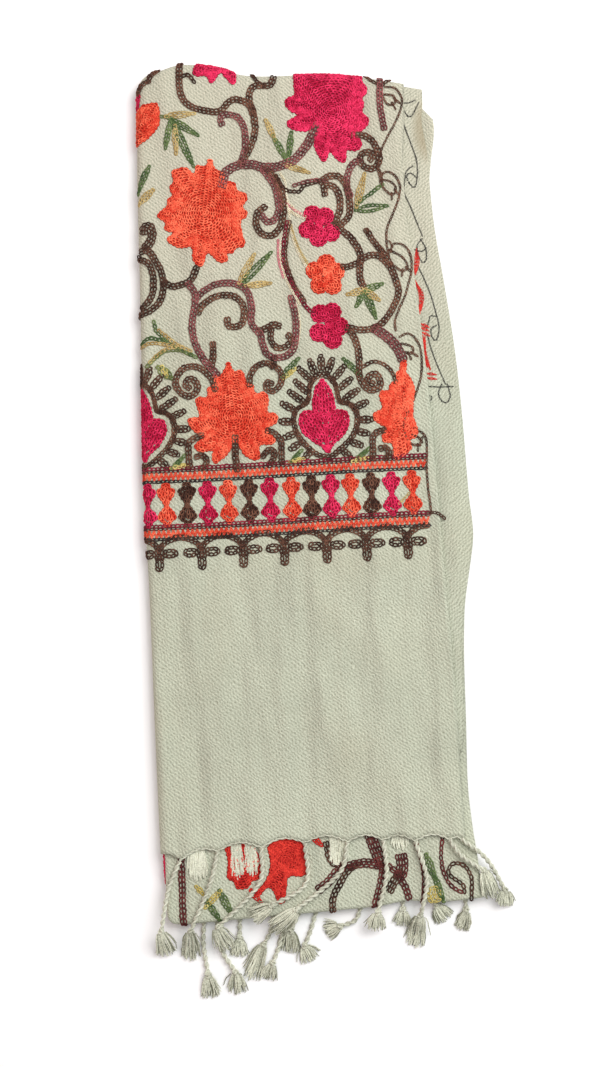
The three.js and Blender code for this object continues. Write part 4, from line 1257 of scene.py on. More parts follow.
# dye, base, tip, width
LEAVES = [
    ("tan", (-94, 291), (-73, 292.5), 6), ("green", (-90, 288), (-71, 275), 6),
    ("green", (-90, 287), (-75, 250), 6.5), ("tan", (-88, 282), (-88, 261), 5),
    ("green", (-92, 285), (-96, 266), 5), ("tan", (-16, 283), (-10, 268), 5),
    ("green", (-11, 270), (-2, 251), 5), ("green", (3, 272), (0, 253), 5),
    ("tan", (-4, 247), (15, 240), 5), ("green", (-110, 251), (-119, 231), 5.5),
    ("tan", (-108, 232), (-118.5, 222), 6), ("tan", (-43, 155), (-31, 176), 6),
    ("green", (-42, 153), (-18, 177), 6.5), ("tan", (-38, 152), (-20, 153), 5.5),
    ("green", (-13, 79), (-1, 92), 5.5), ("yellow", (-12, 78), (-4, 84), 4),
    ("green", (35, 90), (47, 77), 5), ("tan", (51, 211), (58.5, 236), 6),
    ("green", (51, 208), (74, 210), 7), ("tan", (54, 144), (41, 141), 6),
    ("green", (54, 144), (67, 148), 6), ("tan", (54, 143), (64, 136), 6),
    ("green", (54, 142), (61, 122), 6), ("green", (53, 142), (47, 132), 5),
    ("olive", (-109, 91), (-99, 82), 8), ("yellow", (-106, 91), (-103, 85), 5),
    ("green", (-9, 13), (-2, 20), 4), ("yellow", (-10, 12), (0, 14), 4),
    ("green", (40, 11), (50, 19), 4), ("yellow", (38, 10), (48, 12), 4),
    ("green", (-101, 12), (-92, 21), 4), ("yellow", (-102, 12), (-90, 14), 4),
]
LEAF_LINES = [
    ("green", [(52, 213), (57, 217), (62, 220), (67, 224), (72, 227)]),
    ("green", [(-111, 127), (-110, 121), (-107, 117), (-98, 109), (-89, 103), (-80, 98)]),
    ("tan", [(-107, 120), (-98, 111.5), (-90, 106), (-84, 103)]),
    ("green", [(-121, 111), (-115, 114.5), (-108, 113), (-101, 111)]),
    ("tan", [(-121, 108), (-114, 110.5), (-105, 109.5), (-94, 107)]),
    ("olive", [(-117, 93), (-112, 98), (-103, 103.5), (-92, 104), (-84, 100)]),
    ("tan", [(-115, 96), (-108, 102), (-100, 106), (-90, 106)]),
    ("olive", [(-98, 291), (-94, 290.5), (-90, 288)]),
]
# the bud: the way its rows run and the outline of each lobe, its rim and the little leaves round it
BUD_LOBES = [
    (90, [
        (17, 76.5), (12, 70), (9, 60), (9, 50.5), (13, 47), (17.5, 46), (22, 47), (26, 50.5),
        (25.5, 60), (22, 70),
    ]),
    (118, [
        (19, 47), (13, 49), (9, 51), (3, 51.5), (-1, 49), (-2.5, 42), (0, 34), (6, 28), (14, 22),
        (19, 17.5),
    ]),
    (62, [
        (17, 47), (22, 49), (26, 51), (33, 50.5), (36.5, 46), (36, 38), (31, 30), (24, 24), (18, 17.5),
    ]),
]
BUD_OUTLINE = [
    (19, 13), (12, 15), (5, 20), (-3, 30), (-7, 42), (-5, 52), (3, 57), (6, 62), (7, 70), (10, 76),
    (16, 80), (22, 78), (27, 72), (29, 62), (31, 57), (38, 55), (43, 48), (43, 38), (38, 28), (30, 20),
    (22, 14),
]
# base and tip
BUD_LEAVES = [
    ((17, 83), (17, 94)), ((12, 80), (8, 91)), ((22, 81), (26, 91)), ((8, 76), (-1, 85)),
    ((27, 76), (35, 85)), ((5, 66), (-4, 75)), ((31, 68), (40, 75)), ((1, 59), (-9, 67)),
    ((34, 59), (45, 66)), ((-6, 53), (-15, 58)), ((42, 52), (51, 56)), ((-8, 43), (-17, 44)),
    ((45, 42), (54, 42)), ((-6, 34), (-14, 31)), ((43, 33), (51, 31)), ((-3, 26), (-10, 22)),
    ((38, 25), (45, 22)), ((5, 19), (0, 14)), ((31, 18), (36, 13)),
]
BUD_MIDDLE = (17.5, 46)
BUD_PITCH = -141.5
HOURGLASS = [
    (-2.6, 0.5), (2.6, 0.5), (3.5, -3), (7, -5), (6, -9), (2.2, -15), (2.2, -18), (6, -23),
    (7.2, -27.5), (3.2, -30), (2.6, -33.5), (-2.6, -33.5), (-3.2, -30), (-7.2, -27.5), (-6, -23),
    (-2.2, -18), (-2.2, -15), (-6, -9), (-7, -5), (-3.5, -3),
]
HOURGLASS_ROW = [
    ("magenta", -122), ("orange", -107.5), ("brown", -91.5), ("magenta", -75.5), ("orange", -59.5),
    ("brown", -43.5), ("magenta", -27.5), ("orange", -11), ("brown", 4.5), ("magenta", 19.5),
    ("orange", 34.5), ("brown", 50.5), ("magenta", 66), ("orange", 82),
]
# the two bands: top row, sideways waves of their rows, and the orange zigzag within them
BAND_TOPS = (11.8, -32.6)
BAND_RIGHT_X = 93
BAND_WAVE = 0.5
BAND_WAVE_RUN = 37
ZIGZAG_STEP = 1.85
ZIGZAG_RISE = 4.4
# dye, how far it lies under the band's top row, and width of its links
BAND_ROWS_OVER = [("maroon", 0, 1.0), ("wine", 2.1, 0.8)]
BAND_ROWS_UNDER = [("black", 10, 0.85)]
# scallops from cross to cross, and the ovals of a cross: across from its middle, y, way, length, width
SCALLOP_CROSSES = [-145, -114.5, -82, -50, -18.5, 14, 44.5, 76]
SCALLOPS_END_X = 107
SCALLOP_Y = -51.5
SCALLOP_RISE = 8.4
CROSS_OVALS = [
    (8.4, -54, (1, 0), 9.4, 4.4),
    (-8.4, -54, (1, 0), 9.4, 4.4),
    (0, -61.5, (0, 1), 10.5, 3.9),
]
TRIM_RIGHT_X = 95
# the tail that the lower band ends in
BAND_TAIL = [(93, -33), (97, -32.6), (101, -33.6), (105, -37)]

# the wrong side of the second cloth: thin carried threads, and the floats between them
SECOND_LINES = [
    [(94, 293), (97, 293), (101, 294.5)],
    [(93, 286), (96, 282), (99, 283), (102, 288), (104, 292)],
    [
        (92, 275), (95, 265), (98, 255), (100, 247), (100.5, 238), (99, 228), (97, 224.5), (93, 229),
        (92, 234), (95, 236), (98.5, 233),
    ],
    [(96, 241), (92, 238), (90, 230), (89, 221), (93, 210), (97, 198), (101, 186)],
    [(100, 182), (97, 178), (97, 170), (101, 164), (103.5, 168), (103, 176), (100, 182)],
    [(96, 174), (100, 173), (103, 175)],
    [
        (97, 160), (101, 150), (105, 138), (108, 125), (110, 113), (109, 106), (107, 102), (104, 105),
        (104, 111), (107, 113),
    ],
    [(101, 113), (104, 121), (107, 121)], [(101, 105), (103, 95), (107, 82), (112, 68)],
    [(99, 66), (108, 65), (117, 65)],
    [(109, 66), (106.5, 60), (109, 54), (113, 53), (115.5, 58), (114, 66)],
    [(99, 59), (101, 57), (99, 54)],
]
SECOND_FLOATS = [
    [(96, 174), (95, 165), (93.5, 155)], [(97, 171), (96.5, 164), (94.5, 156)],
    [(93.5, 150), (97, 138), (95.5, 124)], [(94, 148), (98.5, 138), (97, 127)],
    [(97, 105), (98, 92), (101, 80)], [(98.5, 104), (97.5, 90), (99, 82)], [(97, 115), (101, 113)],
    [(97, 112), (101, 110)], [(98, 108), (101.5, 106)], [(99, 76), (104.5, 75)],
    [(99, 72.5), (104.5, 71.5)],
]

REAR_STEMS = [
    ("wine", 2, 2.3, [(-108, -270), (-108, -300), (-108.5, -320), (-108, -338)]),
    ("dark_brown", 2, 2.1, [(2, -280), (4, -290), (8, -295), (14, -296)]),
    ("wine", 3, 2.0, [(14, -296), (8, -302), (2, -308), (-5, -313)]),
    ("dark_brown", 2, 2.2, [(4.5, -331), (5, -320), (10, -311), (17, -301), (24, -296)]),
    ("wine", 3, 2.0, [(19, -297), (26, -295.5), (34, -295.5), (44, -298)]),
    ("wine", 4, 2.0, [(34, -268), (36, -277), (39, -286), (43, -297)]),
    ("wine", 2, 2.2, [(44, -297), (42, -308), (39, -318), (36, -328)]),
    ("wine", 4, 2.1, [(58, -292), (58.5, -299), (57, -305)]),
    ("dark_brown", 3, 2.0, [(57, -304), (52, -310), (48, -316)]),
    ("wine", 2, 2.1, [(48.5, -299), (53, -303), (57, -308)]),
    ("wine", 2, 2.2, [(55, -305), (59, -313), (62, -322)]),
    ("wine", 1, 2.1, [(68, -272), (70, -284), (73, -295), (74, -312), (72, -327)]),
    ("wine", 1, 2.1, [(91, -272), (89, -284), (88, -292), (89.5, -306), (95, -316), (101, -320)]),
    ("dark_brown", 1, 2.1, [
        (109, -325), (110, -312), (107, -303), (101, -299), (95, -300), (93, -306), (98, -311),
        (103, -315), (104, -320),
    ]),
]
REAR_FLOWERS = [
    ("scarlet", (-63, -292), [
        (-74, -300), (-74.5, -303), (-69, -303.5), (-68, -309.5), (-58, -309.5), (-55, -304),
        (-50, -304), (-48, -297), (-50, -284), (-56, -274), (-66, -270), (-75, -276), (-73, -288),
    ]),
    ("scarlet", (-29, -291), [
        (-43, -280), (-37, -274), (-27, -271), (-19, -273), (-13, -282), (-12.5, -292), (-15, -302),
        (-28, -303), (-30, -312), (-32, -322), (-36, -322), (-40, -312), (-44, -310), (-53, -317),
        (-50, -311), (-44, -303), (-41, -292),
    ]),
]
REAR_LEAVES = [
    ("green", (-80, -311), (-72, -328), 6), ("yellow", (-80, -311), (-91, -322), 5),
    ("green", (-90, -318), (-81, -332), 5), ("yellow", (-97, -307), (-93, -312), 4),
    ("green", (77, -292), (82, -309), 6), ("green", (82, -306), (88, -327), 5),
    ("scarlet", (-8, -274), (-2, -280), 5), ("magenta", (-122, -278), (-122, -302), 6),
    ("scarlet", (-56, -312), (-50, -320), 5),
]
REAR_BLOSSOM = [
    (76, -318), (81, -314), (86, -318), (86, -326), (80, -328), (76, -325),
]


def sew_front(sewing):
    """The flowers, stems, leaves and borders of the front cloth."""
    for dye, centre, outline in FLOWERS:
        sewing.spiral("flowers", dye, FRONT, outline, centre)
    for dye, centre, lobes, radius in ROUND_FLOWERS:
        for lobe in lobes:
            sewing.spiral("flowers", dye, FRONT, oval(lobe, (1, 0), 2 * radius, 2 * radius))
        heart = np.array(lobes, float) * 0.45 + np.array(centre) * 0.55
        sewing.spiral("flowers", dye, FRONT, heart, lift=0.5)
    for piece, stems, lift in (
        ("stems_top", TOP_STEMS, 0.5),
        ("stems_left", LEFT_STEMS, 0.5),
        ("stems_middle", MIDDLE_STEMS, 0.5),
        ("stems_low", LOW_STEMS, 0.75),
    ):
        for dye, rows, gap, points in stems:
            sewing.vine(piece, dye, FRONT, points, rows, gap, lift=lift)
    for points in SCROLL:
        sewing.vine("scroll", "brown", FRONT, points, 1, pitch=2.9, scale=0.55, long=1.55, lift=0.5)
    for dye, points in PALE_LINES:
        sewing.vine("pale_lines", dye, FRONT, points, 1, pitch=2.6, scale=0.6, long=1.3)
    for dye, base, tip, width in LEAVES:
        sewing.leaf("leaves", dye, FRONT, base, tip, width, wide=0.9)
    for dye, points in LEAF_LINES:
        sewing.vine("leaves", dye, FRONT, points, 1)
    for shift in (0, BUD_PITCH):
        sew_bud(sewing, np.array([shift, 0]))
    sew_borders(sewing)


def sew_bud(sewing, move):
    """One bud of the row over the border, its outline and the small leaves round it."""
    for angle, outline in BUD_LOBES:
        sewing.fill("buds", "magenta", FRONT, outline + move, angle)
    outline = np.array(BUD_OUTLINE) + move
    sewing.ring_of("bud_leaves", "dark_brown", FRONT, outline)
    middle = np.array(BUD_MIDDLE) + move
    sewing.ring_of("bud_leaves", "brown", FRONT, middle + (outline - middle) * 0.945)
    for base, tip in BUD_LEAVES:
        base, tip = np.array(base) + move, np.array(tip) + move
        way = tip - base
        long = np.hypot(*way)
        centre = base * 0.57 + tip * 0.43
        sewing.ring_of("bud_leaves", "dark_brown", FRONT, oval(centre, way, long * 1.1, 3.0))


def sew_borders(sewing):
    """Two bands with hourglasses between them, and the scalloped trim under them."""
    left = float(FRONT.side_tangent(0)) - math.pi * FRONT.radius
    run = np.linspace(left, BAND_RIGHT_X, 24)
    xs = np.arange(left, BAND_RIGHT_X, ZIGZAG_STEP)
    rising = np.where(np.arange(len(xs)) % 2, 1.0, -1.0)
    ways = np.stack([np.full(len(xs), ZIGZAG_STEP), rising * ZIGZAG_RISE], axis=-1)
    ways /= np.hypot(*ways.T)[:, None]

    def level(x, y):
        return np.stack([x, y + BAND_WAVE * np.sin(x / BAND_WAVE_RUN)], axis=-1)

    for top in BAND_TOPS:
        for dye, below, wide in BAND_ROWS_OVER:
            sewing.row_of("bands", dye, FRONT, level(run, top - below), wide=wide)
        for off in (-1.3, 1.3):
            spots = level(xs, top - 6.1) + off * ways
            sewing.sew("bands", "orange", FRONT, spots, ways, long=0.9, wide=0.58)
        for dye, below, wide in BAND_ROWS_UNDER:
            sewing.row_of("bands", dye, FRONT, level(run, top - below), wide=wide)
    for dye, x in HOURGLASS_ROW:
        sewing.fill("hourglasses", dye, FRONT, np.array(HOURGLASS) + [x, 0], 90)
    for left_x, right_x in zip(SCALLOP_CROSSES, SCALLOP_CROSSES[1:] + [SCALLOPS_END_X]):
        share = np.linspace(0, 1, 9)
        x = mix(left_x, right_x, share)
        y = SCALLOP_Y + SCALLOP_RISE * np.sin(share * math.pi) ** 0.7
        path = np.stack([x, y], axis=-1)[x < TRIM_RIGHT_X]
        sewing.row_of("trim", "brown", FRONT, path)
        sewing.row_of("trim", "dark_brown", FRONT, path + [0, 2.2])
    for x in SCALLOP_CROSSES:
        for dx, y, way, length, width in CROSS_OVALS:
            sewing.ring_of("trim", "dark_brown", FRONT, oval((x + dx, y), way, length, width))
        for dx in (-2.3, 0, 2.3):
            path = [(x + dx, -49), (x + dx * 0.9, -52), (x + dx, -57)]
            sewing.row_of("trim", "dark_brown", FRONT, path)
    sewing.row_of("bands", "dark_brown", FRONT, BAND_TAIL, scale=0.8)


def sew_others(sewing):
    """What shows of the second and the rear cloth's sewing."""
    line = {"pitch": 2.8, "scale": 0.34, "long": 2.2, "lift": 0.1}
    for points in SECOND_LINES:
        sewing.vine("second_lines", "grey", SECOND, points, 1, **line)
    float_line = {"pitch": 2.6, "scale": 0.36, "long": 1.9, "lift": 0.1}
    for points in SECOND_FLOATS:
        sewing.vine("second_lines", "scarlet", SECOND, points, 3, 0.8, 0.9, **float_line)
    for dye, rows, gap, points in REAR_STEMS:
        sewing.vine("rear_stems", dye, REAR, points, rows, gap, pitch=3.9, long=1.12)
    for dye, centre, outline in REAR_FLOWERS:
        sewing.spiral("rear_flowers", dye, REAR, outline, centre)
    for dye, base, tip, width in REAR_LEAVES:
        sewing.leaf("rear_leaves", dye, REAR, base, tip, width, wide=0.9)
    sewing.fill("rear_leaves", "yellow", REAR, REAR_BLOSSOM, 70)


# ---- the tassels -------------------------------------------------------------------------------------
def rope_paths(row, root, height):
    """The centre line of a tassel's rope, and where its knot and brush are."""
    knee, knot, tip = np.array(row[2:4], float), np.array(row[4:6], float), np.array(row[6:8], float)
    flat = curve_through([root[:2], knee, knot], 1.2)
    share = np.linspace(0, 1, len(flat))
    z = height(flat[:, 0], flat[:, 1])
    z = mix(root[2], z, smooth(0, 0.18, share))
    return np.column_stack([flat, z]), knot, tip


def knot_path(centre, heading, size, turn):
    """A closed overhand loop round a point, drawn tight."""
    t = np.linspace(0, 2 * math.pi, 40, endpoint=False)
    x = (np.sin(t) + 2 * np.sin(2 * t)) / 3
    y = (np.cos(t) - 2 * np.cos(2 * t)) / 3
    z = -np.sin(3 * t) * 0.55
    cos, sin = math.cos(turn), math.sin(turn)
    x, y = x * cos - y * sin, x * sin + y * cos
    aside = np.array([-heading[1], heading[0]])
    flat = np.outer(x * size * 1.15, heading) + np.outer(y * size, aside)
    return np.column_stack([centre[0] + flat[:, 0], centre[1] + flat[:, 1], centre[2] + z * size])


class Runs:
    """Polylines with a thickness at each point, gathered into one mesh of edges.

    tone is how light the yarn of a polyline is, from 0 to 1.
    """

    def __init__(self):
        self.points, self.edges, self.thick, self.tone = [], [], [], []

    def add(self, path, thick, closed=False, tone=0.95):
        first = len(self.points)
        self.points.extend(path)
        self.thick.extend(np.broadcast_to(thick, (len(path),)))
        self.tone.extend([tone] * len(path))
        last = len(self.points)
        self.edges.extend((i, i + 1) for i in range(first, last - 1))
        if closed:
            self.edges.append((last - 1, first))

    def source(self, name):
        obj = make_object(name, self.points, [], self.edges)
        layer = obj.data.attributes.new("thick", "FLOAT", "POINT")
        layer.data.foreach_set("value", np.array(self.thick, dtype=np.float32) * MM)
        layer = obj.data.attributes.new("tone", "FLOAT", "POINT")
        layer.data.foreach_set("value", np.array(self.tone, dtype=np.float32))
        return obj


def add_brush(runs, start, knot_z, tip, spread, threads, radius, height, rng):
    """The combed threads of a brush, from the knot to a fan at the tip."""
    way = tip - start
    length = np.linalg.norm(way)
    way = way / length
    aside = np.array([-way[1], way[0]])
    for _ in range(threads):
        fan = rng.uniform(-1, 1) * (1.45 if rng.uniform() < 0.12 else 1)
        reach = length * (rng.uniform(0.78, 1.08) - 0.14 * fan**2)
        layer = rng.uniform(0, 1)
        wave = rng.uniform(-1, 1, 2)
        share = np.linspace(0, 1, 7)
        off = fan * spread * (0.42 + 0.58 * share**0.6)
        off = off + np.sin(share * 6 + wave[0] * 3) * wave[1] * share * 1.5
        flat = start + np.outer(share * reach, way) + np.outer(off, aside)
        low = height(flat[:, 0], flat[:, 1])
        z = mix(knot_z, low + layer * 2.2 * (1 - 0.4 * share), smooth(0, 0.6, share))
        z = np.maximum(z, low) + radius
        # painted shade: threads that lie lower in the brush get a darker tone
        runs.add(np.column_stack([flat, z]), radius * (1 - 0.35 * share**3), tone=layer)


def past_rear(x, y):
    """How far a point lies outside the rear cloth, seen from above."""
    sideways = np.maximum(left_edge(y) + REAR.side - x, x - open_edge(y))
    return np.maximum(sideways, near_edge(x) - y)


def rear_hem(x):
    """y of the hem of the rear row of tassels, which runs along under the near fold."""
    return REAR_HEM_Y + near_edge(x) - near_edge(REAR_HEM_X)


def comb(threads, tree, name):
    """Thin untwisted threads as one mesh."""
    untwisted = {"Groove": 0.0, "Twist_Length": 1000.0}
    return tree.grow(threads.source(name + "_paths"), name, Step=0.004, Sides=4, **untwisted)


def make_fringe(name, ropes, threads, sizes, rope_tree, yarn, replaced):
    """The twisted part and the combed part of one row of tassels."""
    rope = rope_tree.grow(ropes.source(name + "_ropes"), name, Twist_Length=sizes.twist_length)
    finish_piece(rope, yarn)
    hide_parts(replaced)
    brush = comb(threads, rope_tree, name + "_brushes")
    finish_piece(brush, yarn)


# ---- finishes that several pieces share ---------------------------------------------------------------
# the middle and the reach of the painted shade in the dip by the second cloth's far corner
SECOND_DIP_SHADE = ((0.109, 0.27), (0.013, 0.03))


def clothes(sizes):
    """The finishes of the cloth, made once."""
    found = bpy.data.materials.get("twill_face")
    if found:
        return found, bpy.data.materials["twill_back"], bpy.data.materials["twill_layers"]
    return (
        twill_wool("twill_face", sizes, 1),
        twill_wool("twill_back", sizes, -1, 0.97, SECOND_DIP_SHADE),
        # the hidden layers get a darker copy of the wool: painted shade between the cloths
        twill_wool("twill_layers", sizes, -1, 0.93),
    )


def tassel_yarn(sizes):
    """The finish of the fringe, made once."""
    found = bpy.data.materials.get("undyed_yarn")
    return found or dyed_yarn("undyed_yarn", sizes.yarn_color, sizes.shadow_color, 0.35)


# ---- operators ----------------------------------------------------------------------------------------
class SHAWL_OT_front_cloth(bpy.types.Operator):
    """Makes the front cloth, which rolls round the left side and the far end"""

    bl_idname = "shawl.front_cloth"
    bl_label = "Front Cloth"

    def execute(self, context):
        sizes = context.scene.shawl_cloth
        step = sizes.grid_step / MM
        tangent = float(FRONT.side_tangent(HEM_RIGHT[1]))
        flat = list(np.linspace(0, 1, int((HEM_RIGHT[0] - tangent) / step)))
        rows = [("flat", s) for s in np.linspace(0, 1, int(600 / step))]
        rows += [("roll", s) for s in roll_steps(FRONT, 14)]
        columns = [("flat", s) for s in flat] + [("roll", s) for s in roll_steps(FRONT, 14)]
        hem = {c: (mix(HEM_RIGHT[0], tangent, c[1]) if c[0] == "flat" else HEM_LEFT[0]) for c in columns}
        hem_y = {c: float(hem_at(x)) for c, x in hem.items()}

        grid = np.empty((len(rows), len(columns), 2))
        for j, column in enumerate(columns):
            base = hem[column]

            def along(x):
                end = FRONT.end_tangent(x)
                way = np.array([s for _, s in rows])
                rolled = np.array([kind == "roll" for kind, _ in rows])
                return np.where(rolled, end + way, mix(hem_y[column], end, np.minimum(way, 1)))

            y = along(np.full(len(rows), base))
            if column[0] == "roll":
                x = FRONT.side_tangent(y) - column[1]
            else:
                x = mix(read(FRONT_SELVEDGE, y), FRONT.side_tangent(y), column[1])
            grid[:, j, 0] = x
            grid[:, j, 1] = along(x)
        obj = cloth_wall("front_cloth_twill", FRONT, grid[..., 0], grid[..., 1])
        finish_piece(obj, clothes(sizes)[0])
        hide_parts("front_cloth")
        return {"FINISHED"}


class SHAWL_OT_under_cloths(bpy.types.Operator):
    """Makes the second cloth, wrong side up, and the rear cloth, which turns under at the near end"""

    bl_idname = "shawl.under_cloths"
    bl_label = "Under Cloths"

    def execute(self, context):
        sizes = context.scene.shawl_cloth
        step = sizes.grid_step / MM
        share = np.linspace(0, 1, 48) ** 1.25
        rows = np.linspace(0, 1, int(530 / step / 1.3))
        rolls = roll_steps(SECOND, 12)
        grid = np.empty((len(rows) + len(rolls), len(share), 2))
        for j, part in enumerate(share):
            guess = mix(SECOND_SELVEDGE[0][1], SECOND_LEFT_X, part)

            def along(x):
                end = SECOND.end_tangent(x)
                flat = mix(SECOND_HEM_Y, end[: len(rows)], rows)
                return np.concatenate([flat, end[len(rows) :] + rolls])

            y = along(np.full(grid.shape[0], guess))
            x = mix(read(SECOND_SELVEDGE, y), SECOND_LEFT_X, part)
            grid[:, j, 0] = x
            grid[:, j, 1] = along(x)
        second = cloth_wall("second_cloth_twill", SECOND, grid[..., 0], grid[..., 1])
        finish_piece(second, clothes(sizes)[1])
        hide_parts("second_cloth")

        rolls = roll_steps(REAR, 12)
        share = np.linspace(0, 1, 52) ** 1.2
        columns = [("flat", s) for s in share] + [("roll", s) for s in rolls]
        rows = np.linspace(0, 1, int(620 / step / 1.5)) ** 0.85
        grid = np.empty((len(rows) + len(rolls), len(columns), 2))
        for j, (kind, part) in enumerate(columns):
            left_x = LEFT_EDGE[0][1]
            guess = left_x if kind == "roll" else mix(float(open_edge(0)), left_x, part)

            def along(x):
                end = REAR.end_tangent(x)
                flat = mix(REAR_FAR_Y, end[: len(rows)], rows)
                return np.concatenate([flat, end[len(rows) :] - rolls])

            y = along(np.full(grid.shape[0], guess))
            tangent = REAR.side_tangent(y)
            x = tangent - part if kind == "roll" else mix(open_edge(y), tangent, part)
            grid[:, j, 0] = x
            grid[:, j, 1] = along(x)
        rear = cloth_wall("rear_cloth_twill", REAR, grid[..., 0], grid[..., 1])
        finish_piece(rear, clothes(sizes)[0])
        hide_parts("rear_cloth")
        return {"FINISHED"}


class SHAWL_OT_hidden_layers(bpy.types.Operator):
    """Makes the hidden layers, whose edges show on the open side and underneath"""

    bl_idname = "shawl.hidden_layers"
    bl_label = "Hidden Layers"

    def execute(self, context):
        verts, faces, places = [], [], []
        for low, high, left, far, near, side, length, phase in LAYERS:
            rings = []
            half = (high - low) / 2
            for turn in np.linspace(0, math.pi, 6):
                bulge = half * 1.1 * (1 - math.sin(turn))
                ring = self.ring(left + bulge, far + bulge, near + bulge, side + bulge, length, phase)
                z = (low + high) / 2 - half * math.cos(turn)
                rings.append(np.column_stack([ring, np.full(len(ring), z)]))
            for start in (0, -1):
                ends = rings[start]
                middle = np.array([ends[:, 0].mean(), ends[:, 1].mean(), ends[0, 2]])
                inward = [middle + (ends - middle) * s for s in (0.7, 0.02)]
                rings = rings + inward if start else inward[::-1] + rings
            first, count = len(verts), len(rings[0])
            for ring in rings:
                verts.extend(ring.tolist())
                places.extend(ring[:, :2].tolist())
            for k in range(len(rings) - 1):
                for i in range(count):
                    a, b = first + k * count + i, first + k * count + (i + 1) % count
                    faces.append((a, b, b + count, a + count))
            faces.append(tuple(first + i for i in range(count))[::-1])
            faces.append(tuple(first + (len(rings) - 1) * count + i for i in range(count)))
        obj = make_object("folded_layers", verts, faces)
        face_outwards(obj.data)
        lay_places(obj, np.array(places) * MM)
        finish_piece(obj, clothes(context.scene.shawl_cloth)[2])
        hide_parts("folded_stack")
        return {"FINISHED"}

    @staticmethod
    def ring(left, far, near, side, length, phase):
        """The outline of one layer, anticlockwise, at given insets from the outline of the stack."""

        def wave(y):
            slow = 0.5 + 0.5 * np.sin(y * 2 * math.pi / length + phase)
            return 1.3 * slow + 0.35 * np.sin(y / 11 + phase * 3)

        corners = {"far": max(1.5, 18 - left), "near": max(1.5, 11 - left), "open": 7.0}
        near_y = float(near_edge(100)) + near + corners["open"]
        far_y = float(far_edge(90)) - far - corners["open"]
        left_far = (
            float(left_edge(FAR_CORNER_Y)) + left + corners["far"],
            float(far_edge(CORNER_X)) - far - corners["far"],
        )
        left_near = (
            float(left_edge(NEAR_CORNER_Y)) + left + corners["near"],
            float(near_edge(CORNER_X)) + near + corners["near"],
        )
        y = np.linspace(near_y, far_y, 90)
        points = [np.column_stack([open_edge(y) - side - wave(y), y])]
        x = points[0][-1, 0] - corners["open"]
        points.append(arc(x, float(far_edge(x)) - far - corners["open"], corners["open"], 0))
        x = np.linspace(x, left_far[0], 36)[1:-1]
        points.append(np.column_stack([x, far_edge(x) - far]))
        points.append(arc(*left_far, corners["far"], math.pi / 2))
        y = np.linspace(left_far[1], left_near[1], 60)[1:-1]
        points.append(np.column_stack([left_edge(y) + left, y]))
        points.append(arc(*left_near, corners["near"], math.pi))
        x = np.linspace(left_near[0], points[0][0, 0] - corners["open"], 36)[1:-1]
        points.append(np.column_stack([x, near_edge(x) + near]))
        x = points[0][0, 0] - corners["open"]
        y = float(near_edge(x)) + near + corners["open"]
        points.append(arc(x, y, corners["open"], 1.5 * math.pi)[:-1])
        return np.concatenate(points)


def arc(x, y, radius, start):
    """A quarter turn of points round a centre."""
    turn = start + np.linspace(0, math.pi / 2, 7)
    return np.column_stack([x + radius * np.cos(turn), y + radius * np.sin(turn)])


class SHAWL_OT_stitching(bpy.types.Operator):
    """Sews the flowers, stems, leaves and borders in chain stitch"""

    bl_idname = "shawl.stitching"
    bl_label = "Chain Stitching"

    def execute(self, context):
        sizes = context.scene.shawl_stitches
        sewing = Embroidery(sizes, 5)
        sew_front(sewing)
        sew_others(sewing)
        yarns = {dye: dyed_yarn(f"yarn_{dye}", *shades) for dye, shades in DYES.items()}
        sewing.make(chain_stitch_tree(), sizes, yarns)
        return {"FINISHED"}


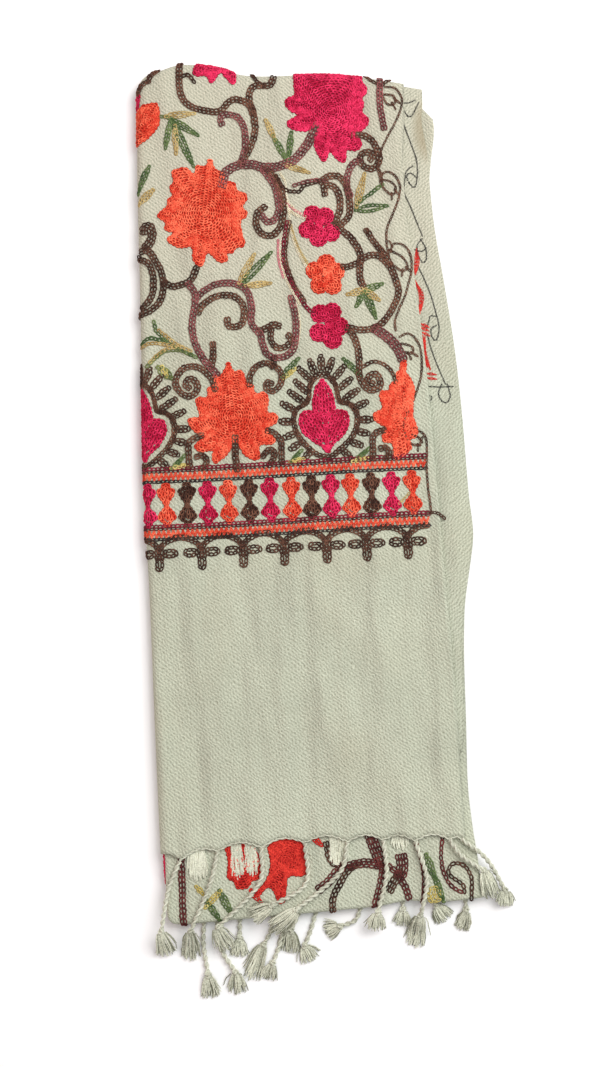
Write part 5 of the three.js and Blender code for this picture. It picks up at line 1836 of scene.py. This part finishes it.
class SHAWL_OT_fringes(bpy.types.Operator):
    """Twists, knots and combs the three rows of tassels"""

    bl_idname = "shawl.fringes"
    bl_label = "Fringes"

    def execute(self, context):
        sizes = context.scene.shawl_tassels
        yarn = tassel_yarn(sizes)
        rope_tree = twisted_rope_tree()
        radius, thread = sizes.rope_radius / MM, sizes.thread_radius / MM
        spread = sizes.brush_spread / MM
        rng = np.random.default_rng(21)

        def tassel(ropes, threads, row, root, height, count=sizes.threads):
            path, knot, tip = rope_paths(row, root, height)
            ropes.add(path[:-1], radius)
            heading = path[-1, :2] - path[-4, :2]
            heading = heading / np.linalg.norm(heading)
            centre = np.array([*knot, max(path[-1, 2], 3.2)])
            ropes.add(knot_path(centre, heading, 1.75, rng.uniform(0, 6)), radius * 0.72, closed=True)

            def low(x, y):
                return height(x, y) - radius

            add_brush(threads, knot + heading * 1.2, centre[2], tip, spread, count, thread, low, rng)

        # the front row lies over the rear cloth and drops past its edges
        front_ropes, front_threads = Runs(), Runs()
        for row in FRONT_TASSELS:
            def height(x, y, rest=row[8]):
                lying = REAR.top + crown(x, y) + FRINGE_LIFT
                floor = REAR_FRINGE_TOP if rest else FLOOR_AIR
                return mix(np.maximum(lying, floor), floor, smooth(0, 26, past_rear(x, y))) + radius

            x, y = row[0], float(hem_at(row[0])) - 1.0
            root = np.array([x, y, float(FRONT.height(np.array(x), np.array(y))) - CLOTH / 2])
            tassel(front_ropes, front_threads, row, root, height)
        x = np.linspace(HEM_POINTS[1][0], HEM_POINTS[-2][0], 150)
        y = hem_at(x) - 0.6
        front_ropes.add(np.column_stack([x, y, FRONT.height(x, y) - CLOTH / 2 + 0.1]), 1.0)
        make_fringe("front_tassels", front_ropes, front_threads, sizes, rope_tree, yarn, "front_fringe")

        # the rear row lies on the floor, and comes out from under the near fold
        rear_ropes, rear_threads = Runs(), Runs()

        def floor(x, y):
            return np.full(np.shape(x), FLOOR_AIR + radius)

        for row in REAR_TASSELS:
            y = float(rear_hem(row[0]))
            root = np.array([row[0], y, radius + FLOOR_AIR])
            row = (row[0], y) + row[1:]
            tassel(rear_ropes, rear_threads, row, root, floor, int(sizes.threads * 0.85))
        x = np.linspace(REAR_TASSELS[0][0] - 3, REAR_TASSELS[-1][0] + 3, 120)
        rear_ropes.add(np.column_stack([x, rear_hem(x), np.full(len(x), 2.0)]), 1.3)
        make_fringe("rear_tassels", rear_ropes, rear_threads, sizes, rope_tree, yarn, "rear_fringe")

        # brush ends of a hidden row, flat on the rear cloth under the front hem
        threads = Runs()
        for x, width, tip_y in SECOND_BRUSHES:
            for _ in range(int(width * 4.2)):
                fan = rng.uniform(-0.5, 0.5)
                end = tip_y + rng.uniform(-1.5, 4.5) + 22 * fan**2
                y = np.linspace(SECOND_BRUSH_ROOT_Y, end, 7)
                share = np.linspace(0, 1, 7)
                wave = np.sin(share * 6 + rng.uniform(0, 6)) * 0.8
                across = x + fan * width * (0.65 + 0.35 * share) + wave
                z = REAR.height(across, y) + 0.45 + rng.uniform(0, 0.8)
                threads.add(np.column_stack([across, y, z]), thread * 1.15)
        brush = comb(threads, rope_tree, "second_brushes")
        finish_piece(brush, yarn)
        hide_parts("second_fringe")
        return {"FINISHED"}


LOOK_AT = (-0.006, -0.043, 0.008)
FLOOR_HALF = 3000
FLOOR_Z = -0.2
# name, place, what it looks at, side, watts, colour
LAMPS = [
    ("key_light", (0.95, 0.6, 1.45), (0, 0, 0), 1.3, 32, (1, 1, 1)),
    ("fill_light", (-1.5, -0.2, 0.7), (0, 0, 0), 1.2, 5, (1, 0.52, 0.48)),
    ("top_light", (0, 0.1, 2.2), (0, 0, 0), 2.0, 13, (1, 1, 1)),
]


class SHAWL_OT_stage(bpy.types.Operator):
    """Sets the camera, the floor and the lights"""

    bl_idname = "shawl.stage"
    bl_label = "Stage"

    def execute(self, context):
        scene, sizes = context.scene, context.scene.shawl_stage
        camera = bpy.data.objects.new("camera", bpy.data.cameras.new("camera"))
        scene.collection.objects.link(camera)
        camera.data.lens = sizes.lens
        camera.data.sensor_width = 36
        camera.data.clip_start = 0.01
        tilt, roll = sizes.elevation, sizes.roll
        back = Vector((0, -math.cos(tilt), math.sin(tilt)))
        level, upright = Vector((1, 0, 0)), Vector((0, math.sin(tilt), math.cos(tilt)))
        right = level * math.cos(roll) + upright * math.sin(roll)
        up = upright * math.cos(roll) - level * math.sin(roll)
        turn = Matrix((right, up, back)).transposed()
        place = Vector(LOOK_AT) + back * sizes.distance
        camera.matrix_world = Matrix.Translation(place) @ turn.to_4x4()
        scene.camera = camera

        square = ((-1, -1), (1, -1), (1, 1), (-1, 1))
        corners = [(x * FLOOR_HALF, y * FLOOR_HALF, FLOOR_Z) for x, y in square]
        floor = make_object("floor", corners, [(0, 1, 2, 3)])
        f = Finish("pale_floor")
        speck = f.noise(f.object_place(), 30, 2.0)
        color = f.blend(speck, opaque(sizes.floor_color, 0.985), opaque(sizes.floor_color))
        floor.data.materials.append(f.surface(color, 0.7, [], specular=0.1))

        for name, place, target, side, watts, tint in LAMPS:
            data = bpy.data.lights.new(name, "AREA")
            data.shape, data.size, data.size_y = "RECTANGLE", side, side
            data.energy, data.color = watts, tint
            lamp = bpy.data.objects.new(name, data)
            lamp.location = place
            lamp.rotation_euler = (Vector(target) - Vector(place)).to_track_quat("-Z", "Y").to_euler()
            scene.collection.objects.link(lamp)
        world = bpy.data.worlds.new("studio")
        world.use_nodes = True
        world.node_tree.nodes["Background"].inputs[0].default_value = (1, 1, 1, 1)
        world.node_tree.nodes["Background"].inputs[1].default_value = 0.4
        scene.world = world
        scene.view_settings.view_transform = "Standard"
        return {"FINISHED"}


class SHAWL_PT_panel(bpy.types.Panel):
    """Lists the shawl's sizes and its steps"""

    bl_idname = "SHAWL_PT_panel"
    bl_label = "Folded Shawl"
    bl_space_type = "VIEW_3D"
    bl_region_type = "UI"
    bl_category = "Shawl"

    def draw(self, context):
        for group, steps in STEPS:
            box = self.layout.box()
            sizes = getattr(context.scene, group)
            for key in type(sizes).__annotations__:
                box.prop(sizes, key)
            for step in steps:
                box.operator(step.bl_idname)


STEPS = [
    ("shawl_cloth", [SHAWL_OT_front_cloth, SHAWL_OT_under_cloths, SHAWL_OT_hidden_layers]),
    ("shawl_stitches", [SHAWL_OT_stitching]),
    ("shawl_tassels", [SHAWL_OT_fringes]),
    ("shawl_stage", [SHAWL_OT_stage]),
]
GROUPS = {
    "shawl_cloth": ShawlClothSettings,
    "shawl_stitches": ShawlStitchSettings,
    "shawl_tassels": ShawlTasselSettings,
    "shawl_stage": ShawlStageSettings,
}
CLASSES = [*GROUPS.values(), *(step for _, steps in STEPS for step in steps), SHAWL_PT_panel]


def register():
    for cls in CLASSES:
        bpy.utils.register_class(cls)
    for name, group in GROUPS.items():
        setattr(bpy.types.Scene, name, bpy.props.PointerProperty(type=group))


def unregister():
    for name in GROUPS:
        delattr(bpy.types.Scene, name)
    for cls in reversed(CLASSES):
        bpy.utils.unregister_class(cls)


def main():
    register()
    bpy.ops.shawl.stage()
    bpy.ops.shawl.front_cloth()
    bpy.ops.shawl.under_cloths()
    bpy.ops.shawl.hidden_layers()
    bpy.ops.shawl.stitching()
    bpy.ops.shawl.fringes()


if __name__ == "__main__":
    main()
